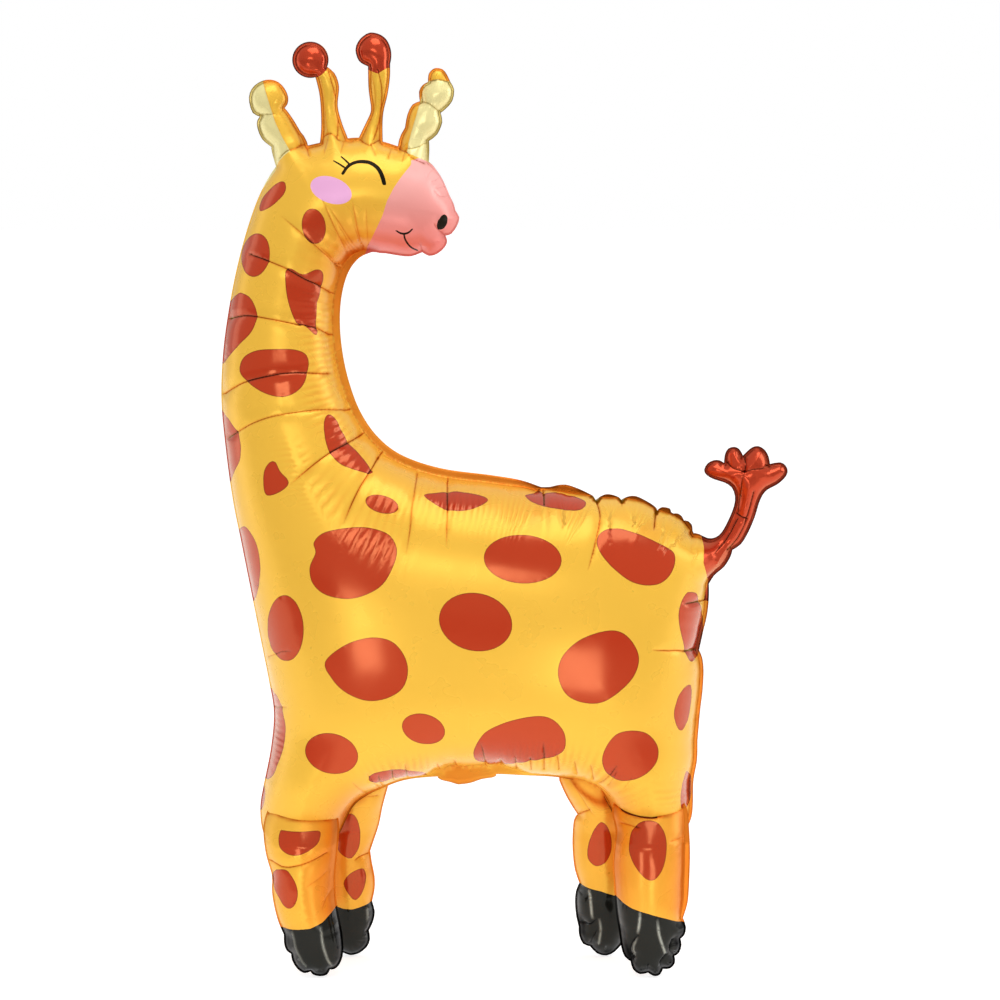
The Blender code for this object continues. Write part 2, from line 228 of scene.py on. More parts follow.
# Stretches of the outline: a pixel on it, the margin there, how strong the pleats are,
# how dark the painted shade at the welded edge is and how orange the weld and the painted
# shade beside it are
stretches = [
    ((262, 806), "chest", 0.6, 0.2, 0.5), ((268, 760), "chest", 0.5, 0.0, 0.0),
    ((262, 645), "chest", 0.35, 0.0, 0.0), ((221, 400), "chest", 0.35, 0.0, 0.0),
    ((261, 192), "chest", 0.3, 0.0, 0.0), ((274, 171), "chest", 0.4, 0.0, 0.0),
    ((300, 147), "crown", 1.3, 0.8, 0.6), ((352, 138), "crown", 1.5, 0.7, 0.6),
    ((396, 146), "crown", 1.4, 0.8, 0.6), ((440, 176), "muzzle", 1.3, 0.0, 0.0),
    ((446, 225), "muzzle", 1.0, 0.2, 0.1), ((392, 254), "muzzle", 0.5, 0.4, 0.5),
    ((372, 253), "muzzle", 0.6, 0.3, 1.5), ((357, 259), "throat", 0.6, 0.15, 1.5),
    ((348, 273), "throat", 0.7, 0.15, 1.2), ((340, 330), "throat", 1.0, 0.0, 0.8),
    ((361, 413), "throat", 1.1, 0.0, 0.8), ((440, 468), "throat", 1.1, 0.15, 0.9),
    ((510, 479), "back", 1.2, 0.4, 0.9), ((540, 485), "rump", 1.2, 1.5, 0.9),
    ((600, 495), "rump", 1.2, 1.8, 0.6), ((690, 525), "rump", 1.2, 1.8, 0.5),
    ((708, 590), "rump", 0.9, 0.9, 0.5), ((702, 670), "rump", 0.9, 0.6, 0.9),
    ((693, 800), "rump", 0.7, 0.6, 0.9), ((655, 846), "under", 0.9, 0.5, 1.0),
    ((608, 803), "under", 1.1, 1.4, 1.2), ((592, 786), "under", 1.1, 1.5, 0.8),
    ((570, 779), "under", 1.1, 0.8, 0.2), ((530, 775), "under", 1.0, 0.1, 0.1),
    ((430, 777), "under", 1.0, 0.2, 0.1), ((385, 787), "under", 1.0, 0.4, 0.6),
    ((362, 799), "under", 1.0, 1.2, 1.2), ((346, 815), "under", 0.9, 1.4, 1.3),
    ((300, 862), "under", 0.9, 0.4, 0.8),
]

# how the sheets blow up
blown = {
    "fullFrom": 0.135,       # half thickness where the body starts to flatten
    "flattening": 0.18,
    "hipSwell": 0.016,
    "hipReach": 0.085,
    "hips": [(-0.2165, 0.192), (0.1578, 0.192)],
    "legFullness": 0.96,
    "legHip": 0.042,         # legs' middle from the weld plane, at the hip and the sole
    "legSole": 0.061,
    "hipHeight": 0.192,
    "tuckTop": 0.239,        # where the legs' middle reaches the weld plane, inside the body
    "tuckDrop": 0.095,
    "weldSlant": 0.0012,     # over this the blown sheet leaves the weld at a slant
}


def inside(points, ring):
    # which points lie inside a closed ring
    lo, hi = ring.min(axis=0), ring.max(axis=0)
    hit = np.zeros(len(points), dtype=bool)
    near = np.flatnonzero(np.all((points >= lo) & (points <= hi), axis=1))
    ax, az = ring[:, 0], ring[:, 1]
    bx, bz = np.roll(ax, -1), np.roll(az, -1)
    rise = np.where(bz == az, 1.0, bz - az)
    for part in np.array_split(near, max(1, len(near) // 4000)):
        x, z = points[part, 0][:, None], points[part, 1][:, None]
        spans = (az > z) != (bz > z)
        crossings = np.sum(spans & (x < ax + (z - az) * (bx - ax) / rise), axis=1)
        hit[part] = crossings % 2 == 1
    return hit


def triangulate(points, edges, faces, kind):
    result = delaunay_2d_cdt([Vector(p) for p in points], edges, faces, kind, 1e-7)
    return (np.array([tuple(v) for v in result[0]]),
            np.array([tuple(f) for f in result[2]], dtype=int))


def areaOf(ring):
    nxt = np.roll(ring, -1, axis=0)
    return 0.5 * np.sum(ring[:, 0] * nxt[:, 1] - nxt[:, 0] * ring[:, 1])


def unionRing(shapes):
    # the outer edge of shapes that overlap, counterclockwise
    points, faces = [], []
    for shape in shapes:
        faces.append(list(range(len(points), len(points) + len(shape))))
        points += [tuple(p) for p in shape]
    verts, tris = triangulate(points, [], faces, 1)
    directed = {(t[k], t[(k + 1) % 3]) for t in tris.tolist() for k in range(3)}
    following = {a: b for a, b in directed if (b, a) not in directed}
    rings = []
    while following:
        start = min(following)
        ring, at = [], start
        while at in following:
            ring.append(at)
            at = following.pop(at)
        rings.append(verts[ring])
    ring = max(rings, key=lambda r: abs(areaOf(r)))
    return ring if areaOf(ring) > 0 else ring[::-1]


def evenRing(ring, step, cornerTurn=0.6):
    # even steps between the sharp notches, which stay where they are
    into = ring - np.roll(ring, 1, axis=0)
    out = np.roll(ring, -1, axis=0) - ring
    turn = np.abs(np.arctan2(into[:, 0] * out[:, 1] - into[:, 1] * out[:, 0],
                             np.sum(into * out, axis=1)))
    corners = np.flatnonzero(turn > cornerTurn)
    if len(corners) == 0:
        corners = np.array([0])
    fresh = []
    for a, b in zip(corners, np.append(corners[1:], corners[0] + len(ring))):
        part = ring[np.arange(a, b + 1) % len(ring)]
        length = np.concatenate([[0], np.cumsum(np.linalg.norm(np.diff(part, axis=0), axis=1))])
        count = max(1, round(length[-1] / step))
        at = np.arange(count) * length[-1] / count
        fresh.append(np.column_stack([np.interp(at, length, part[:, k]) for k in (0, 1)]))
    return np.vstack(fresh)


def evenRun(points, step, closed=False):
    # a curve cut into even steps
    pts = np.vstack([points, points[:1]]) if closed else np.asarray(points, dtype=float)
    length = np.concatenate([[0], np.cumsum(np.linalg.norm(np.diff(pts, axis=0), axis=1))])
    count = max(2, round(length[-1] / step))
    at = np.linspace(0, length[-1], count + 1)
    fresh = np.column_stack([np.interp(at, length, pts[:, k]) for k in (0, 1)])
    return fresh[:-1] if closed else fresh


class NearestOn:
    # finds the nearest of many points, and its distance and number
    def __init__(self, points):
        self.tree = KDTree(len(points))
        for i, p in enumerate(points):
            self.tree.insert((p[0], p[1], 0), i)
        self.tree.balance()

    def query(self, points):
        hits = [self.tree.find((p[0], p[1], 0)) for p in points]
        return np.array([h[2] for h in hits]), np.array([h[1] for h in hits])


weldStep = 0.0005            # m between the points that distances from a weld are taken to


def moved(ring, inset, edge, stride):
    # the ring moved inward, without the points that crowd another stretch of it
    along = np.roll(ring, -1, axis=0) - np.roll(ring, 1, axis=0)
    along /= np.linalg.norm(along, axis=1)[:, None] + 1e-12
    points = (ring + np.column_stack([-along[:, 1], along[:, 0]]) * inset[:, None])[::stride]
    gap, _ = edge.query(points)
    return points[gap > 0.965 * inset[::stride]]


def lattice(ring, step):
    # points of an even triangular grid
    lo, hi = ring.min(axis=0), ring.max(axis=0)
    rows = np.arange(lo[1], hi[1], step * math.sqrt(0.75))
    points = np.array([(x + (i % 2) * step / 2, z) for i, z in enumerate(rows)
                       for x in np.arange(lo[0], hi[0], step)])
    return points[inside(points, ring)]


# Bands of fine ripples that run straight in from the weld
ripples = [                  # pixel in the middle, half length and width, tilt, strength
    ((535, 518), (72, 15), 4, 1.0), ((452, 507), (40, 16), 10, 0.8), ((640, 530), (40, 15), 18, 0.9),
    ((678, 548), (26, 17), 45, 0.7), ((372, 540), (34, 19), 30, 0.9), ((330, 500), (36, 17), 47, 0.8),
    ((300, 462), (24, 13), 55, 0.7), ((322, 352), (50, 19), 84, 0.9), ((320, 400), (32, 16), 76, 0.9),
    ((342, 440), (32, 13), 55, 0.9), ((383, 505), (24, 14), 22, 0.9), ((540, 757), (52, 12), 2, 0.9),
    ((410, 768), (38, 9), -4, 0.8), ((607, 779), (32, 12), 40, 0.9), ((335, 240), (30, 20), -40, 0.6),
    ((274, 735), (28, 8), 84, 0.6), ((665, 797), (26, 10), 20, 0.5),
]
rippleDepth = -0.07          # y of the blown skin about the ripples
weldJump = 0.03              # across a triangle: there the nearest weld changes


def rippleSize(sheet):
    # how strong the ripples are at each point
    points = sheet["verts"]
    scale = photo["distance"] / photo["pixelsPerRadian"]
    size = np.zeros(len(points))
    for pixel, (longHalf, wideHalf), tilt, strength in ripples:
        u, v = (points - unproject([pixel], rippleDepth)[0]).T
        a = -math.radians(tilt)
        window = np.exp(-((u * math.cos(a) + v * math.sin(a)) / (longHalf * scale)) ** 2
                        - ((v * math.cos(a) - u * math.sin(a)) / (wideHalf * scale)) ** 2)
        size = np.maximum(size, strength * window)
    size = size * (sheet["inner"] > 0)
    torn = np.ptp(sheet["place"][sheet["tris"]], axis=1) > weldJump
    size[sheet["tris"][torn]] = 0
    return size


def besides(path, offsets):
    # copies of an open line on both sides of it
    along = np.gradient(path, axis=0)
    along /= np.linalg.norm(along, axis=1)[:, None] + 1e-12
    side = np.column_stack([-along[:, 1], along[:, 0]])
    return np.vstack([path + side * offset * sign for offset in offsets for sign in (-1, 1)])


def withStretch(ring, line):
    # the ring with one stretch of it replaced by another line
    first, last = (np.argmin(np.linalg.norm(ring - end, axis=1)) for end in (line[0], line[-1]))
    if (last - first) % len(ring) > len(ring) / 2:
        first, last, line = last, first, line[::-1]
    kept = (last + 1 + np.arange((first - last - 1) % len(ring))) % len(ring)
    return np.vstack([ring[kept], line])


def flatSheet(shapes, fine, knots, prints=(), creases=(), rootLine=None):
    # the flat sheet: triangles, distance from its edge and from the root of the margin, and
    # place along the edge. knots are (place, margin, pleats, painted shade at the edge, weld
    # orange and painted orange shade); the edges of prints and the lines of creases stay sharp
    ring = evenRing(unionRing(shapes), fine["edge"])
    dense = evenRun(ring, weldStep, True)
    edge = NearestOn(dense)
    size = len(dense)
    _, where = edge.query([k[0] for k in knots])
    order = np.argsort(where)
    places = where[order].astype(float)
    values = np.array([k[1:] for k in knots])[order]
    wrapped = np.concatenate([[places[-1] - size], places, [places[0] + size]])
    table = np.vstack([values[-1:], values, values[:1]])
    along = np.column_stack([np.interp(np.arange(size), wrapped, table[:, k]) for k in range(4)])
    for _ in range(3):
        along = sum(np.roll(along, shift, axis=0) for shift in (-8, -4, 0, 4, 8)) / 5
    _, ringAt = edge.query(ring)
    margin = along[ringAt, 0]

    root = moved(ring, margin, edge, 1)
    if rootLine is not None:
        root = withStretch(root, evenRun(rootLine, fine["edge"]))
    rootEdge = NearestOn(evenRun(root, weldStep, True))
    margin = rootEdge.query(ring)[0]
    rings = [moved(ring, margin * share, edge, 1) for share in fine["inMargin"]]
    rings += [moved(root, np.full(len(root), depth), rootEdge, stride)
              for depth, stride in fine["layers"]]
    edges = [(i, (i + 1) % len(ring)) for i in range(len(ring))]
    first = len(ring)
    edges += [(first + i, first + (i + 1) % len(root)) for i in range(len(root))]
    field = lattice(ring, fine["lattice"])
    field = field[inside(field, root)]
    field = field[rootEdge.query(field)[0] > fine["layers"][-1][0] + 0.6 * fine["lattice"]]
    lines = [evenRun(line, fine["print"], True) for line in prints]
    folded = [evenRun(line, fine["print"]) for line in creases]
    loose = rings + [field]
    if folded:
        aside = np.vstack([besides(line, fine["beside"]) for line in folded])
        aside = aside[inside(aside, root)]
        gap, _ = NearestOn(np.vstack(folded)).query(aside)
        aside = aside[gap > 0.9 * fine["beside"][0]]
        gap, _ = NearestOn(aside).query(field)
        loose = rings + [field[gap > 0.5 * fine["print"]], aside]
    if lines or folded:
        clear = NearestOn(np.vstack(lines + folded))
        loose = [layer[clear.query(layer)[0] > fine["clear"]] for layer in loose]
    layers = [ring, root] + loose
    start = sum(len(layer) for layer in layers)
    points = [p for layer in layers for p in layer]
    for line in lines:
        edges += [(start + i, start + (i + 1) % len(line)) for i in range(len(line))]
        points += list(line)
        start += len(line)
    for line in folded:
        edges += [(start + i, start + i + 1) for i in range(len(line) - 1)]
        points += list(line)
        start += len(line)
    verts, tris = triangulate(points, edges, [], 0)
    tris = tris[inside(verts[tris].mean(axis=1), ring)]
    used = np.unique(tris)
    fresh = np.full(len(verts), -1)
    fresh[used] = np.arange(len(used))
    verts, tris = verts[used], fresh[tris]
    distance, place = edge.query(verts)
    inner = rootEdge.query(verts)[0]
    inner = np.where(inside(verts, root), inner, -inner)
    return {"verts": verts, "tris": tris, "distance": distance, "inner": inner,
            "place": place * weldStep, "along": along[place], "length": size * weldStep}


def sag(sheet):
    # a membrane under even load, held at the margin's root
    verts, tris = sheet["verts"], sheet["tris"]
    free = sheet["inner"] > 0.00025
    p = verts[tris]
    e = np.stack([p[:, 2] - p[:, 1], p[:, 0] - p[:, 2], p[:, 1] - p[:, 0]], axis=1)
    area = 0.5 * np.abs(e[:, 0, 0] * e[:, 1, 1] - e[:, 0, 1] * e[:, 1, 0]) + 1e-14
    pairs, weights = [], []
    for i, j in ((0, 1), (1, 2), (2, 0)):
        pairs.append(tris[:, [i, j]])
        weights.append(-np.sum(e[:, i] * e[:, j], axis=1) / (4 * area))
    pairs, weights = np.vstack(pairs), np.clip(np.concatenate(weights), 1e-4, 40)
    count = len(verts)
    load = np.bincount(tris.ravel(), np.repeat(area / 3, 3), count) * free
    a, b = pairs.T
    diagonal = np.bincount(a, weights, count) + np.bincount(b, weights, count)

    def pull(u):
        given = np.bincount(a, weights * u[b], count) + np.bincount(b, weights * u[a], count)
        return (diagonal * u - given) * free
    u = np.zeros(count)
    residual = load.copy()
    ready = residual / diagonal
    search = ready.copy()
    energy = residual @ ready
    goal = 1e-7 * energy
    for _ in range(3000):
        step = pull(search)
        size = energy / (search @ step)
        u += size * search
        residual -= size * step
        ready = residual / diagonal
        fresh = residual @ ready
        if fresh < goal:
            break
        search = ready + fresh / energy * search
        energy = fresh
    inner = np.maximum(sheet["inner"], 0)
    slant = inner / (inner + blown["weldSlant"])
    return np.sqrt(2 * np.maximum(u, 0)) * slant


def bodyHeight(sheet):
    height = sag(sheet)
    height = height * (1 - blown["flattening"] * (height / blown["fullFrom"]) ** 2)
    for x, z in blown["hips"]:
        gap = np.hypot(sheet["verts"][:, 0] - x, sheet["verts"][:, 1] - z)
        swell = blown["hipSwell"] * np.cos(np.clip(gap / blown["hipReach"], 0, 1) * math.pi / 2) ** 2
        height = height + swell * np.clip(height / 0.03, 0, 1)
    return height


fineness = {                 # metres between points; layers are (depth, every nth point)
    "edge": 0.0017,
    "inMargin": [0.3, 0.75],
    "layers": [(0.0008, 1), (0.0022, 1), (0.0042, 1), (0.0070, 2), (0.0108, 2)],
    "lattice": 0.0038,
    "print": 0.0020,
    "beside": [0.0008, 0.0022],
    "clear": 0.0005,
}
coarse = {"edge": 0.006, "inMargin": [], "layers": [(0.003, 1), (0.008, 1)], "lattice": 0.014}


class Surface:
    # how far a blown sheet stands from its middle
    def __init__(self, sheet, height):
        self.height = height
        self.tree = NearestOn(sheet["verts"]).tree

    def at(self, points):
        out = []
        for p in points:
            hits = self.tree.find_n((p[0], p[1], 0), 4)
            weights = np.array([1 / (h[2] + 1e-5) ** 2 for h in hits])
            out.append(weights @ self.height[[h[1] for h in hits]] / weights.sum())
        return np.array(out)


def printed(pixels, surface):
    # a mark seen in the photograph, laid on the near side of the blown sheet
    spot = unproject(pixels)
    for _ in range(4):
        y = -surface.at(spot)
        spot = np.array([unproject([p], depth)[0] for p, depth in zip(pixels, y)])
    return spot


bodyShapes = [unproject(shape) for shape in (bodyPixels, earLeft, earRight, hornLeft, hornRight,
                                             hornBallLeft, hornBallRight, muzzle, tail, fillingTab)]
bodyKnots = [(unproject([pixel])[0], margins[kind], *rest) for pixel, kind, *rest in stretches]
trimKnots = [(262, 139), (249, 100), (270, 79.6), (288, 100), (300, 131), (412, 105), (437, 68),
             (452, 100), (442, 122), (429, 150), (404, 128), (320, 120), (320, 90), (334, 74),
             (338, 90), (342, 123), (366, 122), (370, 100), (368, 80), (390, 76),
             (388, 95), (383, 130), (715, 537), (734, 500), (706, 474), (734, 447), (759, 446),
             (787, 472), (758, 505), (740, 545), (714, 575)]
ballKnots = [(293, 62), (300, 45), (315, 42), (326, 52), (357, 50), (363, 36.6), (375, 33), (391, 53)]
# trims, balls and the tab: margin, pleats, painted shade at the edge, weld orange and painted orange shade
bodyKnots += [(unproject([pixel])[0], margins["trim"], 0.6, 0.75, 0.55) for pixel in trimKnots]
bodyKnots += [(unproject([pixel])[0], margins["ball"], 0.2, 0.75, 0.3) for pixel in ballKnots]
bodyKnots += [(unproject([pixel])[0], margins["tab"], 0.3, 0.2, 0.8)
              for pixel in ((446, 781), (458, 784.5), (470, 783))]

rumpRoot = unproject(smoothRun(outline["rumpRoot"]))
firstTry = flatSheet(bodyShapes, coarse, bodyKnots, rootLine=rumpRoot)
surface = Surface(firstTry, bodyHeight(firstTry))
print("first try blown, half thickness", round(float(surface.height.max()), 4))

# The print, as seen from the near side; (centre, radii, tilt) or points of a closed curve
spots = {
    "discs": [((255.5, 255), (14, 22), 8), ((313.8, 226.4), (12, 18), -8), ((382, 504), (17, 9), 15),
              ((285.6, 628), (18, 33), -3), ((331.6, 753.5), (27, 20), 15), ((423.5, 729), (22, 15), 15),
              ((475.6, 622), (37, 29), 12), ((522.7, 559), (39, 24.5), 3)],
    "closed": [
        [(260, 211), (262, 199), (273, 186), (283, 181), (286, 186), (284, 194), (272, 206)],
        [(285.5, 271), (291, 268.5), (303, 274.5), (316, 269.5), (323, 272), (323.5, 285), (318.5, 303),
         (317, 320), (319, 332), (315, 334.5), (306, 326), (297, 323), (290, 308), (286, 290)],
        [(236, 295), (243, 293), (252, 300), (256.8, 315), (252, 331), (240, 344), (229, 356), (222, 364),
         (216, 350), (222, 315)],
        [(239.6, 371), (243, 358), (256, 350.5), (275, 349), (295, 349.5), (307, 355), (309, 368),
         (304, 384), (293, 394), (279, 397), (262, 392), (246, 381)],
        [(324, 422), (327, 415), (332, 414.5), (337.5, 421), (343, 432), (352, 444), (365, 460),
         (374, 470), (368, 472.5), (352, 469), (338, 462), (328, 448), (324.5, 434)],
        [(218, 412), (226, 416), (234, 427), (240, 440), (240.5, 458), (234, 472), (229, 484), (222, 480)],
        [(263.5, 487), (264, 471), (270, 462), (275.5, 462), (280, 471), (288, 480), (287.5, 486),
         (278, 493), (267, 495.5)],
        [(238, 533), (245, 526), (254, 538), (259.5, 556), (260, 578), (256, 596), (250, 600), (240, 560)],
        [(313.5, 543), (323, 533), (345, 528), (368, 527.5), (388, 534), (396.5, 547), (395, 562),
         (384, 583), (368, 594), (348, 599), (326, 595), (313, 584), (309.5, 568), (315.5, 552.5)],
        [(325, 662), (345, 645), (370, 637.5), (391, 641), (404, 655), (408, 672), (402, 689),
         (385, 699), (365, 700.5), (345, 692), (332, 679)],
        [(262, 686), (271, 688), (281, 704), (285.5, 725), (284, 745), (277, 765), (271, 777), (262, 770)],
        [(252, 790), (262, 782), (265, 793), (263, 806), (259, 811), (250, 808)],
        [(369, 780), (374, 773.5), (395, 769.5), (413, 769.5), (427, 774.5), (412, 776), (395, 778.5),
         (380, 782.5)],
        [(424, 494), (436, 490.5), (455, 490), (476, 493), (488.5, 499), (478, 506.5), (462, 510.5),
         (445, 508.5), (433, 502)],
        [(525, 495), (535, 491.5), (548, 491), (562, 493), (577, 496.5), (586.5, 501), (582, 508),
         (570, 510), (550, 506.5), (535, 502)],
        [(597, 540), (602, 531), (618, 527.5), (640, 534), (663, 545), (675, 554), (673, 570),
         (663, 582), (648, 585.5), (630, 581), (611, 566), (600, 552)],
        [(558, 675), (562, 657), (578, 641), (600, 632), (618, 631), (631, 640), (639, 657),
         (634, 676), (618, 693), (600, 703), (580, 702), (565, 693)],
        [(474, 756), (476, 745), (487, 731), (510, 721), (536, 716), (552, 719), (564, 732), (565, 748),
         (556, 756), (538, 760), (510, 763.5), (486, 763)],
        [(602, 762), (606, 747), (617, 734), (633, 730.5), (648, 734), (658, 747), (656, 763),
         (643, 776), (625, 781), (609, 776)],
        [(679, 622), (680.5, 605), (688, 592), (696, 592), (701, 604), (703, 624), (701, 643),
         (696, 658), (691, 661.5), (686, 652)],
        [(674, 716), (677, 700), (685, 686), (691, 684), (691.5, 700), (687, 722), (680, 730)],
        [(680.5, 800), (683, 783), (687, 771), (691, 776), (691, 795), (687, 807), (683, 811)],
    ],
}
face = {
    "cheek": ((331, 190), (21.5, 13), 20),
    "eye": ([(342.7, 173.4), (348, 166), (355, 162.2), (362.6, 161.3), (370, 162.6), (377, 167.2),
             (381.4, 174), (384.2, 183.3)], [3.0, 3.2, 3.4, 3.6, 3.8, 4.0, 4.2, 4.2]),
    "lashes": [([(333.6, 160.6), (339, 163.6), (344.7, 167.3)], [1.4, 1.8, 2.0]),
               ([(341, 156), (345, 159.6), (349.7, 164)], [1.4, 1.8, 2.0])],
    "nostril": ((443, 222.7), (4.6, 8.6), 15),
    "mouth": [([(396.6, 231), (400, 233.2), (404, 234), (408.5, 232.8), (412.7, 229)],
               [1.4, 1.9, 2.1, 1.9, 1.4]),
              ([(404, 234), (405.5, 240), (410.7, 247.2), (417.7, 250.5)], [1.6, 1.8, 1.8, 1.3])],
    "muzzle": [(411.5, 160), (411.5, 164.3), (402, 176), (394, 187.5), (387, 201), (382.5, 215.7),
               (374, 234), (366.8, 249.7), (362, 262), (480, 275), (480, 170), (428, 155)],
}
trimPrint = {
    "creamLeft": [(235, 60), (262, 60), (263.3, 82.8), (270, 104), (276.2, 123.2), (283.5, 138),
                  (290.8, 150.7), (284, 156), (278, 163), (276, 170), (262, 190), (235, 150)],
    "creamRight": [(421.5, 97), (424, 86), (429, 81), (438, 79), (447, 81), (456, 82), (475, 90),
                   (460, 160), (440, 170), (425, 160), (407, 152), (411, 135), (417, 115)],
    "ballLeft": ((308.5, 59), (21, 18.4), 35),
    "ballRight": [(345, 74), (366, 69), (378, 74), (388, 67.5), (400, 70), (402, 25), (345, 22)],
    "tail": [(699, 520), (703, 545), (702, 560), (708, 580), (704, 600), (740, 610), (820, 560), (820, 430),
             (690, 430), (690, 490)],
}

printOrder = []          # (material, ring) in the order they lie over one another
rimWidth = 0.0009        # the darker line round a spot


def inset(ring, width):
    ring = evenRun(ring, 0.002, True)
    along = np.roll(ring, -1, axis=0) - np.roll(ring, 1, axis=0)
    along /= np.linalg.norm(along, axis=1)[:, None] + 1e-12
    side = np.column_stack([-along[:, 1], along[:, 0]])
    return ring + side * (width if areaOf(ring) > 0 else -width)


def layMark(material, pixels):
    printOrder.append((material, printed(pixels, surface)))


def laySpot(pixels):
    ring = printed(pixels, surface)
    printOrder.append(("spotRim", ring))
    printOrder.append(("spotFoil", inset(ring, rimWidth)))


for centre, radii, tilt in spots["discs"]:
    laySpot(ellipse(centre, radii, tilt))
for points in spots["closed"]:
    laySpot(smoothRing(points))
layMark("muzzleFoil", np.array(face["muzzle"], dtype=float))
layMark("cheekFoil", ellipse(*face["cheek"]))
layMark("inkFoil", stroke(*face["eye"]))
for line in face["lashes"] + face["mouth"]:
    layMark("inkFoil", stroke(*line))
layMark("inkFoil", ellipse(*face["nostril"]))
for key in ("creamLeft", "creamRight"):
    printOrder.append(("creamFoil", unproject(trimPrint[key])))
printOrder.append(("tailFoil", unproject(ellipse(*trimPrint["ballLeft"]))))
for key in ("ballRight", "tail"):
    printOrder.append(("tailFoil", unproject(trimPrint[key])))
print("print laid out:", len(printOrder), "marks")
